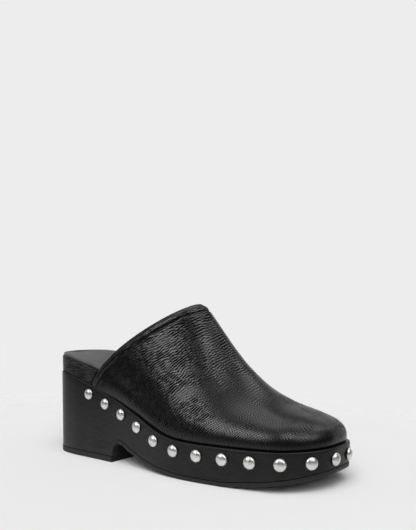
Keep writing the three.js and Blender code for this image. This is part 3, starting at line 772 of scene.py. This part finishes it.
def grain_relief(along, across, t):
    """Height of the grain, from -1 to 1, and how strong it is."""
    leaned = along - GRAIN_LEAN * np.sqrt(across**2 + GRAIN_BEND**2)
    ridges = wave_field(
        leaned, across, GRAIN_PITCH, GRAIN_PITCH_SPREAD, GRAIN_RIDGE_LENGTH, GRAIN_WAVES, GRAIN_SEED
    )
    patches = wave_field(along, across, PATCH_SIZE, PATCH_SPREAD, PATCH_LENGTH, PATCH_WAVES, PATCH_SEED)
    strong = mix(GRAIN_AT_EDGE, 1, smooth(*EDGE_OVER, along))
    strong = strong * (1 - GRAIN_LOST_AT_TOE * smooth(*TOE_OVER, along))
    strong = strong * (1 - GRAIN_LOST_ON_VAMP * smooth(*VAMP_OVER, along) * smooth(*VAMP_HEIGHTS, t))
    strong = strong * mix(GRAIN_AT_FOOT, 1, smooth(*FOOT_HEIGHTS, t))
    strong = strong * np.clip(1 + PATCH_STRENGTH * patches, *PATCH_LIMITS)
    return np.tanh(GRAIN_SQUARENESS * ridges), strong


# The upper.
def rib_rows():
    """Heights of the rows on a rib, crowded near the foot."""
    even = np.linspace(0, 1, UPPER_ROWS)
    climb = even / even[FOOT_ROWS]
    beyond = mix(FOOT_SHARE * climb, even, smooth(0, even[EVEN_ROWS_FROM], even))
    return np.sort(np.where(climb > 1, beyond, FOOT_SHARE * climb**FOOT_CROWDING))


def upper_grid(side):
    """Shares and heights of the grid, whose columns run parallel to the top line where they are near it."""
    t = rib_rows()
    dense = np.linspace(0, 1, PATH_STEPS)
    share_mesh, t_mesh = np.meshgrid(dense, t, indexing="ij")
    reach = path_length(on_rib(rib(side, share_mesh)[0], t_mesh), 0)
    near = np.linspace(0, BAND_REACH, BAND_COLUMNS)
    shares = np.empty((BAND_COLUMNS + WALL_COLUMNS, len(t)))
    for k in range(len(t)):
        far = np.linspace(BAND_REACH, reach[-1, k], WALL_COLUMNS + 1)[1:]
        shares[:, k] = np.interp(np.concatenate([near, far]), reach[:, k], dense)
    shares[-1] = 1
    return shares, np.broadcast_to(t, shares.shape)


def upper_sides():
    """Each side's grid on the plain face, with its lengths from the top line and up the ribs. Along is the
    first of them, stretched so that both sides agree along the ridge."""
    sides = {}
    for side in INWARD:
        shares, t = upper_grid(side)
        place, normal, out = upper_face(side, shares, t)
        sides[side] = {
            "t": t,
            "place": place,
            "normal": normal,
            "out": out,
            "from_edge": path_length(place, 0),
            "up": path_length(place, 1),
        }
    mean_total = sum(part["from_edge"][-1] for part in sides.values()) / 2
    for part in sides.values():
        part["along"] = part["from_edge"] * (mean_total / part["from_edge"][-1])
    return sides


def upper_faces(side, part):
    """The outside with its relief and the inside, the outside's grain, and the way back off the top line."""
    place, t, up = part["place"], part["t"], part["up"]
    height = place[..., 2:] - place[:, :1, 2:]
    tuck = upper_tuck(place[..., :1]) * np.clip(1 - height / TUCK_HEIGHT, 0, 1) ** 2
    place = place - part["out"] * tuck
    relief, seam = band_relief(part["from_edge"], up, t)
    relief = relief - crease_depth(place)
    across = (up - up[:, -1:]) * INWARD[side]
    grain, strong = grain_relief(part["along"], across, t)
    relief = (relief + GRAIN_HEIGHT * strong * grain) * smooth(0, RELIEF_FULL_FROM, t)
    crests = (0.5 + 0.5 * grain * np.clip(strong, 0, 1)) * (1 - SEAM_DULLNESS * seam)
    faces = {
        "outside": place + part["normal"] * relief[..., None],
        "inside": place - part["normal"] * UPPER_WALL,
    }
    for face in faces.values():
        face[:, 0, 2] = top_edge_height(face[:, 0, 0]) + CLEARANCE
    return faces, crests, unit(place[0] - place[1])


def rolled_edge(outside, inside, back):
    """Rows round the top line's edge, from the outside to the inside."""
    middle = (outside[0] + inside[0]) / 2
    half = (outside[0] - inside[0]) / 2
    angles = np.pi * np.arange(1, ROLL_STEPS) / ROLL_STEPS
    return np.array([middle + half * math.cos(a) + back * BAND_ROLL * math.sin(a) for a in angles])


def join_sides(values, others):
    """Gives one side's grid the other's own values along the ridge and the toe tip's rib."""
    values[:, -1] = others[:, -1]
    values[-1] = others[-1]


def skin_side(sheet, numbers, flip):
    """Faces of one side. The inside's lowest faces take in all the points of the foot, which are as many
    as the outside's."""
    outside, inside, foot = numbers["outside"], numbers["inside"], numbers["foot"]
    sheet.quads(outside, flip)
    sheet.quads(inside[:, 1:], not flip)
    for k in range(len(inside) - 1):
        low = foot[k * INSIDE_STEP : (k + 1) * INSIDE_STEP + 1].tolist()
        face = low + [int(inside[k + 1, 1]), int(inside[k, 1])]
        sheet.faces.append(face if flip else face[::-1])
    sheet.quads(np.stack([foot, outside[:, 0]], 1), flip)
    sheet.quads(np.vstack([outside[:1], numbers["roll"], inside[:1]]), not flip)


def build_upper():
    sheet = Sheet()
    joined = None
    for side, part in upper_sides().items():
        faces, crests, back = upper_faces(side, part)
        if joined:
            for name, face in faces.items():
                join_sides(face, joined[0][name])
        numbers = {
            "outside": sheet.add(faces["outside"], crests),
            "inside": sheet.add(faces["inside"][::INSIDE_STEP]),
            "foot": sheet.add(faces["inside"][:, 0]),
            "roll": sheet.add(rolled_edge(faces["outside"], faces["inside"], back)),
        }
        if joined:
            for name in faces:
                join_sides(numbers[name], joined[1][name])
            numbers["roll"][:, -1] = joined[1]["roll"][:, -1]
        numbers["foot"][::INSIDE_STEP] = numbers["inside"][:, 0]
        skin_side(sheet, numbers, flip=side == "inner")
        joined = joined or (faces, numbers)
    return sheet.build("leather_upper", UPPER_SHARP)


# Solids with the platform's outline: paired stations on both sides, walls with rounded edges.
def station_places(count, extra=()):
    """Places along the shoe, crowded at both ends, with extra ones put in."""
    turn = np.linspace(0, math.pi, count)
    return np.unique(np.concatenate([LENGTH * (1 - np.cos(turn)) / 2, extra]))


def side_at(side, x):
    points, outs = SIDES[side]
    return np.interp(x, points[:, 0], points[:, 1]), unit(between(x, points[:, 0], outs))


def profile_rows(low_round, high_round, wall_rows):
    """Rows of a wall from bottom to top: the share of the way up its flat part, the inset, and the rise
    above that place."""
    quarter = np.linspace(0, math.pi / 2, ROUND_STEPS + 1)
    rows = [(0, low_round * (1 - math.sin(a)), -low_round * math.cos(a)) for a in quarter]
    rows += [(k / (wall_rows + 1), 0, 0) for k in range(1, wall_rows + 1)]
    rows += [(1, high_round * (1 - math.cos(a)), high_round * math.sin(a)) for a in quarter]
    return rows


def ring_solid(name, xs, depth, low, high, low_round, high_round, wall_rows, dish=None, sharp=SOLE_SHARP):
    """A closed solid under the outline. depth(x, z) is how far the wall stands in from the outline, low(x)
    and high(x) are its bottom and top, and dish(x) hollows the top. A place on the wall moves as it stands
    in, so its height and depth are worked out DEPTH_TURNS times."""
    sheet = Sheet()
    rows = profile_rows(low_round, high_round, wall_rows)
    rings = []
    for side in INWARD:
        y, out = side_at(side, xs)
        for share, inset, rise in rows:
            x = xs.astype(float)
            for _ in range(DEPTH_TURNS):
                z = mix(low(x) + low_round, high(x) - high_round, share) + rise
                inward = depth(xs, z) + inset
                x = xs - out[:, 0] * inward
            rings.append(np.stack([x, y - out[:, 1] * inward, z], 1))
    count = len(rows)
    outer, inner = np.array(rings[:count]), np.array(rings[count:])
    numbers = sheet.add(np.concatenate([outer, inner[:, ::-1]], axis=1))
    sheet.quads(numbers.T, closed=True)
    n = len(xs)
    shares = np.linspace(0, 1, ACROSS_STEPS + 1)[1:-1]
    for row, flip, sink in ((0, False, None), (count - 1, True, dish)):
        middle = np.array([mix(outer[row], inner[row], s) for s in shares])
        if sink is not None:
            middle[..., 2] -= sink(middle[..., 0]) * (1 - (2 * shares - 1) ** 2)[:, None]
        edge = numbers[row]
        across = np.vstack([edge[None, :n], sheet.add(middle), edge[None, n:][:, ::-1]])
        sheet.quads(across, flip)
    return sheet.build(name, sharp)


def sole_bottom(x):
    on_heel = HEEL_LIFT + CLEARANCE
    lean = (x - HEEL_BASE_LENGTH) / BREAST_RUN
    face = np.maximum(ARCH_HEIGHT * breast("rise", lean), on_heel)
    return np.where(x < BREAST_TOP_AT, face, underside_height(x) + TREAD + CLEARANCE)


def build_sole():
    breast_places = HEEL_BASE_LENGTH + BREAST_RUN * np.array(BREAST_STATIONS)
    arch_places = BREAST_TOP_AT + np.array(ARCH_STATIONS)
    return ring_solid(
        "platform_and_heel",
        station_places(SOLE_STATIONS, np.concatenate([breast_places, arch_places])),
        depth=wall_taper,
        low=sole_bottom,
        high=top_edge_height,
        low_round=UNDER_ROUND,
        high_round=EDGE_ROUND,
        wall_rows=SOLE_WALL_ROWS,
    )


def build_rubber(name, xs, low, thickness, wall_rows):
    """A rubber piece under the sole, which stands a little proud of the sole's wall."""
    return ring_solid(
        name,
        xs,
        depth=lambda x, z: wall_taper(x, z) - RUBBER_FLARE,
        low=low,
        high=lambda x: low(x) + thickness,
        low_round=RUBBER_ROUND,
        high_round=RUBBER_ROUND / 2,
        wall_rows=wall_rows,
    )


def build_tread():
    start = BREAST_TOP_AT + CLEARANCE
    xs = station_places(SOLE_STATIONS)
    xs = np.concatenate([[start], xs[xs > start + STATION_GAP]])
    return build_rubber("forefoot_rubber", xs, underside_height, TREAD, TREAD_WALL_ROWS)


def build_lift():
    front = HEEL_BASE_LENGTH + HEEL_LIFT_AHEAD
    xs = station_places(SOLE_STATIONS)
    xs = np.concatenate([xs[xs < front - STATION_GAP], [front]])
    return build_rubber("heel_rubber", xs, lambda x: 0 * x, HEEL_LIFT, LIFT_WALL_ROWS)


def top_line_place(z):
    """How far forward the upper's top line lies at height z, on its lower end."""
    t = np.linspace(0, TOP_LINE_LOW, TOP_LINE_STEPS)
    points = on_rib(rib("outer", np.zeros_like(t))[0], t)
    return np.interp(z, points[:, 2], points[:, 0])


def footbed_depth(x, z):
    """Flared out behind the upper's top line, and inside the upper in front of it."""
    climbed = np.clip((z - top_edge_height(x)) / (footbed_top(x) - top_edge_height(x)), 0, 1)
    behind = FOOTBED_INSET - FOOTBED_FLARE * climbed
    line = top_line_place(z) - BAND_ROLL - CLEARANCE
    return mix(behind, np.maximum(inside_upper(x), FOOTBED_INSET), smooth(*FOOTBED_STEP_IN, x - line))


def build_footbed():
    by_top_line = TAIL_AT + np.arange(*TOP_LINE_STRETCH, STATION_GAP)
    return ring_solid(
        "footbed_wrap",
        station_places(FOOTBED_STATIONS, by_top_line),
        depth=footbed_depth,
        low=lambda x: top_edge_height(x) + CLEARANCE,
        high=footbed_top,
        low_round=FOOTBED_UNDER_ROUND,
        high_round=FOOTBED_ROUND,
        wall_rows=FOOTBED_WALL_ROWS,
        dish=heel_dish,
        sharp=FOOTBED_SHARP,
    )


def insole_depth(x, z):
    forward = inside_upper(x) + FOOTBED_ROUND / 2
    return mix(INSOLE_INSET, forward, smooth(INSOLE_FLUSH_TO, TAIL_AT, x)) + 0 * z


def build_insole():
    return ring_solid(
        "insole_lining",
        station_places(INSOLE_STATIONS),
        depth=insole_depth,
        low=lambda x: footbed_top(x) + CLEARANCE - INSOLE_SINK,
        high=lambda x: footbed_top(x) + CLEARANCE + INSOLE,
        low_round=INSOLE_UNDER_ROUND,
        high_round=INSOLE_ROUND,
        wall_rows=INSOLE_WALL_ROWS,
        dish=heel_dish,
        sharp=FOOTBED_SHARP,
    )


# Nails.
def nail_places():
    """Centres and outward directions of the nails, even along the wall from one side round the toe."""
    first = np.where(np.arange(len(OUTLINE)) < TIP, NAIL_FIRST_AT, NAIL_LAST_AT)
    kept = OUTLINE[:, 0] >= first
    points, outs = OUTLINE[kept], OUTWARD[kept]
    z = top_edge_height(points[:, 0]) - NAIL_BELOW_EDGE
    wall = points - outs * wall_taper(points[:, 0], z)[:, None]
    wall = np.stack([wall[:, 0], wall[:, 1], z], 1)
    reach = path_length(wall, 0)
    gaps = round(reach[-1] / NAIL_SPACING)
    at = np.linspace(0, reach[-1], gaps + 1)
    centre = between(at, reach, wall)
    out = unit(between(at, reach, outs))
    facing = unit(stacked(out[:, 0], out[:, 1], -wall_slope(centre[:, 0])))
    return centre, facing


def build_nails():
    """All the nail heads as one mesh: a short rim, a rounded shoulder and a dome."""
    sheet = Sheet()
    head = NAIL_HEAD / 2
    rise = np.linspace(0, math.pi / 2, DOME_STEPS + 1)[:-1]
    under = [head * NAIL_SEAT_SHARE, head - NAIL_SHOULDER, head]
    radii = np.concatenate([under, head * np.cos(rise)])
    heights = np.concatenate([[0.0, 0.0, NAIL_SHOULDER], NAIL_RIM + NAIL_DOME * np.sin(rise)])
    turn = 2 * np.pi * np.arange(NAIL_SIDES) / NAIL_SIDES
    for centre, facing in zip(*nail_places()):
        ahead = unit(np.cross([0, 0, 1.0], facing))
        up = np.cross(facing, ahead)
        around = np.cos(turn)[:, None] * ahead + np.sin(turn)[:, None] * up
        seat = centre + facing * CLEARANCE
        rings = seat + around[:, None, :] * radii[None, :, None] + facing * heights[None, :, None]
        numbers = sheet.add(rings)
        sheet.quads(numbers, closed=True)
        ends = sheet.add(np.array([[seat, seat + facing * (NAIL_RIM + NAIL_DOME)]]))[0]
        for k in range(NAIL_SIDES):
            after = (k + 1) % NAIL_SIDES
            sheet.faces.append([int(numbers[k, 0]), int(ends[0]), int(numbers[after, 0])])
            sheet.faces.append([int(numbers[k, -1]), int(numbers[after, -1]), int(ends[1])])
    return sheet.build("nail_heads", NAIL_SHARP)


# Shader nodes.
def new_material(name):
    material = bpy.data.materials.new(name)
    material.use_nodes = True
    tree = material.node_tree
    return material, tree, tree.nodes["Principled BSDF"]


def math_node(tree, operation, a, b=0.0):
    made = tree.nodes.new("ShaderNodeMath")
    made.operation = operation
    for socket, value in zip(made.inputs, (a, b)):
        if hasattr(value, "default_value"):
            tree.links.new(value, socket)
        else:
            socket.default_value = value
    return made.outputs[0]


def weighted(tree, a, a_weight, b, b_weight):
    first = math_node(tree, "MULTIPLY", a, a_weight)
    return math_node(tree, "ADD", first, math_node(tree, "MULTIPLY", b, b_weight))


def ramp(tree, value, stops):
    made = tree.nodes.new("ShaderNodeValToRGB")
    elements = made.color_ramp.elements
    while len(elements) < len(stops):
        elements.new(0.5)
    for element, (position, colour) in zip(elements, stops):
        element.position = position
        element.color = (*colour, 1) if isinstance(colour, tuple) else (colour, colour, colour, 1)
    tree.links.new(value, made.inputs["Fac"])
    return made.outputs["Color"]


def tint(tree, shader, value, span, tones):
    """Colours the shader from the first tone to the second as the value crosses the span."""
    tree.links.new(ramp(tree, value, tuple(zip(span, tones))), shader.inputs["Base Color"])


def remap(tree, value, span, results):
    """A smooth step from the first result to the second as the value crosses the span."""
    made = tree.nodes.new("ShaderNodeMapRange")
    made.interpolation_type = "SMOOTHSTEP"
    for name, number in zip(("From Min", "From Max", "To Min", "To Max"), (*span, *results)):
        made.inputs[name].default_value = number
    tree.links.new(value, made.inputs["Value"])
    return made.outputs["Result"]


def drive(tree, shader, socket, value, span, results):
    """Sets the shader's socket by a remapped value."""
    tree.links.new(remap(tree, value, span, results), shader.inputs[socket])


def scaled(tree, vector, scale):
    made = tree.nodes.new("ShaderNodeVectorMath")
    made.operation = "MULTIPLY"
    tree.links.new(vector, made.inputs[0])
    made.inputs[1].default_value = scale
    return made.outputs[0]


def noise(tree, vector, scale, detail=3.0, roughness=0.55, distortion=0.0):
    made = tree.nodes.new("ShaderNodeTexNoise")
    tree.links.new(vector, made.inputs["Vector"])
    settings = {"Scale": scale, "Detail": detail, "Roughness": roughness, "Distortion": distortion}
    for name, value in settings.items():
        made.inputs[name].default_value = value
    return made.outputs["Fac"]


def cells(tree, vector, scale):
    made = tree.nodes.new("ShaderNodeTexVoronoi")
    tree.links.new(vector, made.inputs["Vector"])
    made.inputs["Scale"].default_value = scale
    return made.outputs["Distance"]


def bump(tree, shader, height, distance, strength=1.0):
    made = tree.nodes.new("ShaderNodeBump")
    made.inputs["Distance"].default_value = distance * MM
    made.inputs["Strength"].default_value = strength
    tree.links.new(height, made.inputs["Height"])
    tree.links.new(made.outputs["Normal"], shader.inputs["Normal"])


def object_place(tree):
    """The object's own coordinates in millimetres."""
    coordinates = tree.nodes.new("ShaderNodeTexCoord")
    return scaled(tree, coordinates.outputs["Object"], (1 / MM, 1 / MM, 1 / MM))


def grain_share(tree):
    """0 in the grain's furrows, 1 on its crests."""
    made = tree.nodes.new("ShaderNodeAttribute")
    made.attribute_name = "grain"
    return made.outputs["Fac"]


def blend(tree, a, b, share):
    made = tree.nodes.new("ShaderNodeMix")
    made.inputs["Factor"].default_value = share
    tree.links.new(a, made.inputs["A"])
    tree.links.new(b, made.inputs["B"])
    return made.outputs["Result"]


def blend_tones(tree, tone, grey, share):
    made = tree.nodes.new("ShaderNodeMix")
    made.data_type = "RGBA"
    tree.links.new(tone, made.inputs["A"])
    made.inputs["B"].default_value = (grey, grey, grey, 1)
    tree.links.new(share, made.inputs["Factor"])
    return made.outputs["Result"]


def split(tree, vector):
    made = tree.nodes.new("ShaderNodeSeparateXYZ")
    tree.links.new(vector, made.inputs[0])
    return made.outputs


# Materials.
def upper_leather():
    """Black leather with a fine skin, glossy on the crests of its grain and dull in the furrows."""
    material, tree, shader = new_material("upper_leather")
    place = object_place(tree)
    grain = grain_share(tree)
    skin = noise(tree, place, scale=2.4, roughness=0.6)
    skin = blend(tree, skin, cells(tree, place, scale=1.9), share=0.4)
    bump(tree, shader, skin, SKIN_BUMP, strength=0.7)
    tint(tree, shader, skin, (0.2, 0.8), UPPER_TONES)
    handling = remap(tree, noise(tree, place, scale=0.35), (0.3, 0.7), (-0.03, 0.03))
    rough = math_node(tree, "ADD", handling, remap(tree, grain, (0.2, 0.8), (0.42, 0.25)))
    tree.links.new(rough, shader.inputs["Roughness"])
    drive(tree, shader, GLOSS, grain, (0.15, 0.82), (0.05, 0.78))
    return material


def footbed_leather():
    """Black leather wrapped round the footbed, with faint creases that run along its side."""
    material, tree, shader = new_material("footbed_leather")
    place = object_place(tree)
    flattened = scaled(tree, place, (0.14, 0.14, 1.0))
    streak = noise(tree, flattened, scale=0.8, roughness=0.6, distortion=0.4)
    streak = remap(tree, streak, (0.35, 0.65), (0.0, 1.0))
    grain = cells(tree, place, scale=1.5)
    bump(tree, shader, weighted(tree, streak, 0.8, grain, 0.35), FOOTBED_BUMP)
    tint(tree, shader, streak, (0.0, 1.0), FOOTBED_TONES)
    drive(tree, shader, "Roughness", grain, (0.1, 0.8), (0.42, 0.52))
    drive(tree, shader, GLOSS, streak, (0.1, 0.9), (0.14, 0.46))
    return material


def insole_leather():
    """Smooth dark grey lining leather with a faint nap, mottled a little by wear."""
    material, tree, shader = new_material("insole_leather")
    place = object_place(tree)
    mottle = noise(tree, place, scale=0.11, detail=4.0, roughness=0.6)
    fine = noise(tree, place, scale=2.2, roughness=0.6)
    tint(tree, shader, mottle, (0.3, 0.7), INSOLE_TONES)
    drive(tree, shader, "Roughness", mottle, (0.3, 0.7), (0.48, 0.6))
    bump(tree, shader, fine, INSOLE_BUMP, strength=0.7)
    shader.inputs["Sheen Weight"].default_value = 0.1
    shader.inputs["Sheen Roughness"].default_value = 0.4
    return material


def sole_plastic():
    """Satin black moulded plastic with a very fine, slightly drawn texture along the edge."""
    material, tree, shader = new_material("sole_plastic")
    place = object_place(tree)
    flattened = scaled(tree, place, (0.12, 0.12, 1.0))
    drawn = noise(tree, flattened, scale=1.1, detail=4.0, roughness=0.62)
    fine = noise(tree, place, scale=1.7, roughness=0.6)
    bump(tree, shader, weighted(tree, drawn, 0.5, fine, 0.6), SOLE_BUMP, strength=0.8)
    tint(tree, shader, drawn, (0.3, 0.7), SOLE_TONES)
    drive(tree, shader, "Roughness", fine, (0.3, 0.7), (0.38, 0.46))
    drive(tree, shader, GLOSS, drawn, (0.3, 0.7), (0.27, 0.36))
    return material


def tread_rubber():
    """Matt black rubber, ribbed across underneath, with a fine dull texture."""
    material, tree, shader = new_material("tread_rubber")
    place = object_place(tree)
    ribbed = math_node(tree, "SINE", math_node(tree, "MULTIPLY", split(tree, place)["X"], TREAD_RIB_RATE))
    surface = tree.nodes.new("ShaderNodeNewGeometry")
    below = remap(tree, split(tree, surface.outputs["Normal"])["Z"], (-0.9, -0.5), (1.0, 0.0))
    ribbed = math_node(tree, "MULTIPLY", ribbed, math_node(tree, "MULTIPLY", below, TREAD_RIB_HEIGHT))
    fine = noise(tree, place, scale=1.6, detail=4.0, roughness=0.65)
    bump(tree, shader, math_node(tree, "ADD", ribbed, fine), RUBBER_BUMP, strength=0.8)
    tint(tree, shader, fine, (0.3, 0.75), RUBBER_TONES)
    drive(tree, shader, "Roughness", fine, (0.3, 0.7), (0.5, 0.66))
    return material


def nail_metal():
    """Polished nickel with fine handling marks."""
    material, tree, shader = new_material("nail_metal")
    marks = noise(tree, object_place(tree), scale=1.4, detail=4.0, roughness=0.7)
    shader.inputs["Metallic"].default_value = 1.0
    tint(tree, shader, marks, (0.3, 0.7), NAIL_TONES)
    drive(tree, shader, "Roughness", marks, (0.3, 0.7), (0.34, 0.42))
    bump(tree, shader, marks, NAIL_BUMP, strength=0.5)
    return material


# The shoe's pieces in the frame.
def dress(piece, material, slot, *nodes):
    piece.data.materials.append(material)
    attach(piece, "root")
    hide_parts(*nodes)


def dress_shoe():
    nails = sorted(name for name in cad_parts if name.startswith("nail_"))
    rubber = tread_rubber()
    dress(build_upper(), upper_leather(), "upper_leather", "upper")
    dress(build_footbed(), footbed_leather(), "footbed_leather", "footbed")
    dress(build_insole(), insole_leather(), "insole_leather", "insole")
    dress(build_sole(), sole_plastic(), "sole", "sole_unit")
    dress(build_tread(), rubber, "rubber", "forefoot_tread")
    dress(build_lift(), rubber, "rubber", "heel_top_lift")
    dress(build_nails(), nail_metal(), "nails", *nails)


# Stage: a pale round floor that fades into the pale surroundings, soft lights, and the camera.
def pale_floor():
    mesh = bpy.data.meshes.new("floor")
    turn = 2 * np.pi * np.arange(FLOOR_SIDES) / FLOOR_SIDES
    x = FLOOR_RADIUS * np.cos(turn) + FLOOR_AHEAD
    ring = np.stack([x, FLOOR_RADIUS * np.sin(turn), 0 * turn], 1)
    mesh.from_pydata(ring.tolist(), [], [list(range(FLOOR_SIDES))])
    floor = put_in_scene("floor", mesh)
    material, tree, shader = new_material("floor_paper")
    shader.inputs["Base Color"].default_value = (FLOOR_TONE, FLOOR_TONE, FLOOR_TONE, 1)
    shader.inputs["Roughness"].default_value = 0.9
    shader.inputs[GLOSS].default_value = 0.0
    coordinates = tree.nodes.new("ShaderNodeTexCoord")
    length = tree.nodes.new("ShaderNodeVectorMath")
    length.operation = "LENGTH"
    tree.links.new(coordinates.outputs["Object"], length.inputs[0])
    fading = (FLOOR_SOLID_TO, FLOOR_RADIUS * FLOOR_CLEAR_FROM)
    drive(tree, shader, "Alpha", length.outputs["Value"], fading, (1.0, 0.0))
    mesh.materials.append(material)


def surroundings():
    """What the camera sees, what lights dull surfaces, and the studio as the shoe mirrors it."""
    world = bpy.data.worlds.new("studio")
    bpy.context.scene.world = world
    world.use_nodes = True
    tree = world.node_tree
    direction = split(tree, tree.nodes.new("ShaderNodeTexCoord").outputs["Generated"])
    glow = ramp(tree, direction["Z"], GLOW)
    turn = math.radians(BACKDROP_TURN)
    toward = weighted(tree, direction["X"], math.cos(turn), direction["Y"], math.sin(turn))
    behind = remap(tree, toward, BACKDROP_SIDES, (0.0, 1.0))
    low = remap(tree, direction["Z"], BACKDROP_TOP, (1.0, 0.0))
    mirrored = blend_tones(tree, glow, BACKDROP, math_node(tree, "MULTIPLY", behind, low))
    path = tree.nodes.new("ShaderNodeLightPath")
    seen = blend_tones(tree, mirrored, DOME, path.outputs["Is Diffuse Ray"])
    seen = blend_tones(tree, seen, BACKDROP, path.outputs["Is Camera Ray"])
    tree.links.new(seen, tree.nodes["Background"].inputs["Color"])


def soft_light(name, azimuth, elevation, spread, power, mirrored):
    light = bpy.data.lights.new(name, "SUN")
    light.angle = math.radians(spread)
    light.energy = power
    lamp = put_in_scene(name, light)
    lamp.visible_glossy = mirrored
    lamp.visible_diffuse = not mirrored
    lamp.rotation_euler = (math.radians(90 - elevation), 0, math.radians(azimuth + 90))


def camera():
    data = bpy.data.cameras.new("camera")
    data.sensor_fit = "VERTICAL"
    data.sensor_height = SENSOR_HEIGHT
    data.lens = CAMERA_FOCUS / IMAGE_HEIGHT * SENSOR_HEIGHT
    data.clip_start = CLIP_START
    made = put_in_scene("camera", data)
    made.location = to_frame(CAMERA_AT).tolist()
    made.rotation_euler = (math.radians(90 + CAMERA_UP), 0, math.radians(CAMERA_TURN))
    bpy.context.scene.camera = made


dress_shoe()
pale_floor()
surroundings()
for light_row in LIGHTS:
    soft_light(**dict(zip(LIGHT_COLUMNS, light_row)))
camera()
bpy.context.scene.view_settings.view_transform = "Standard"
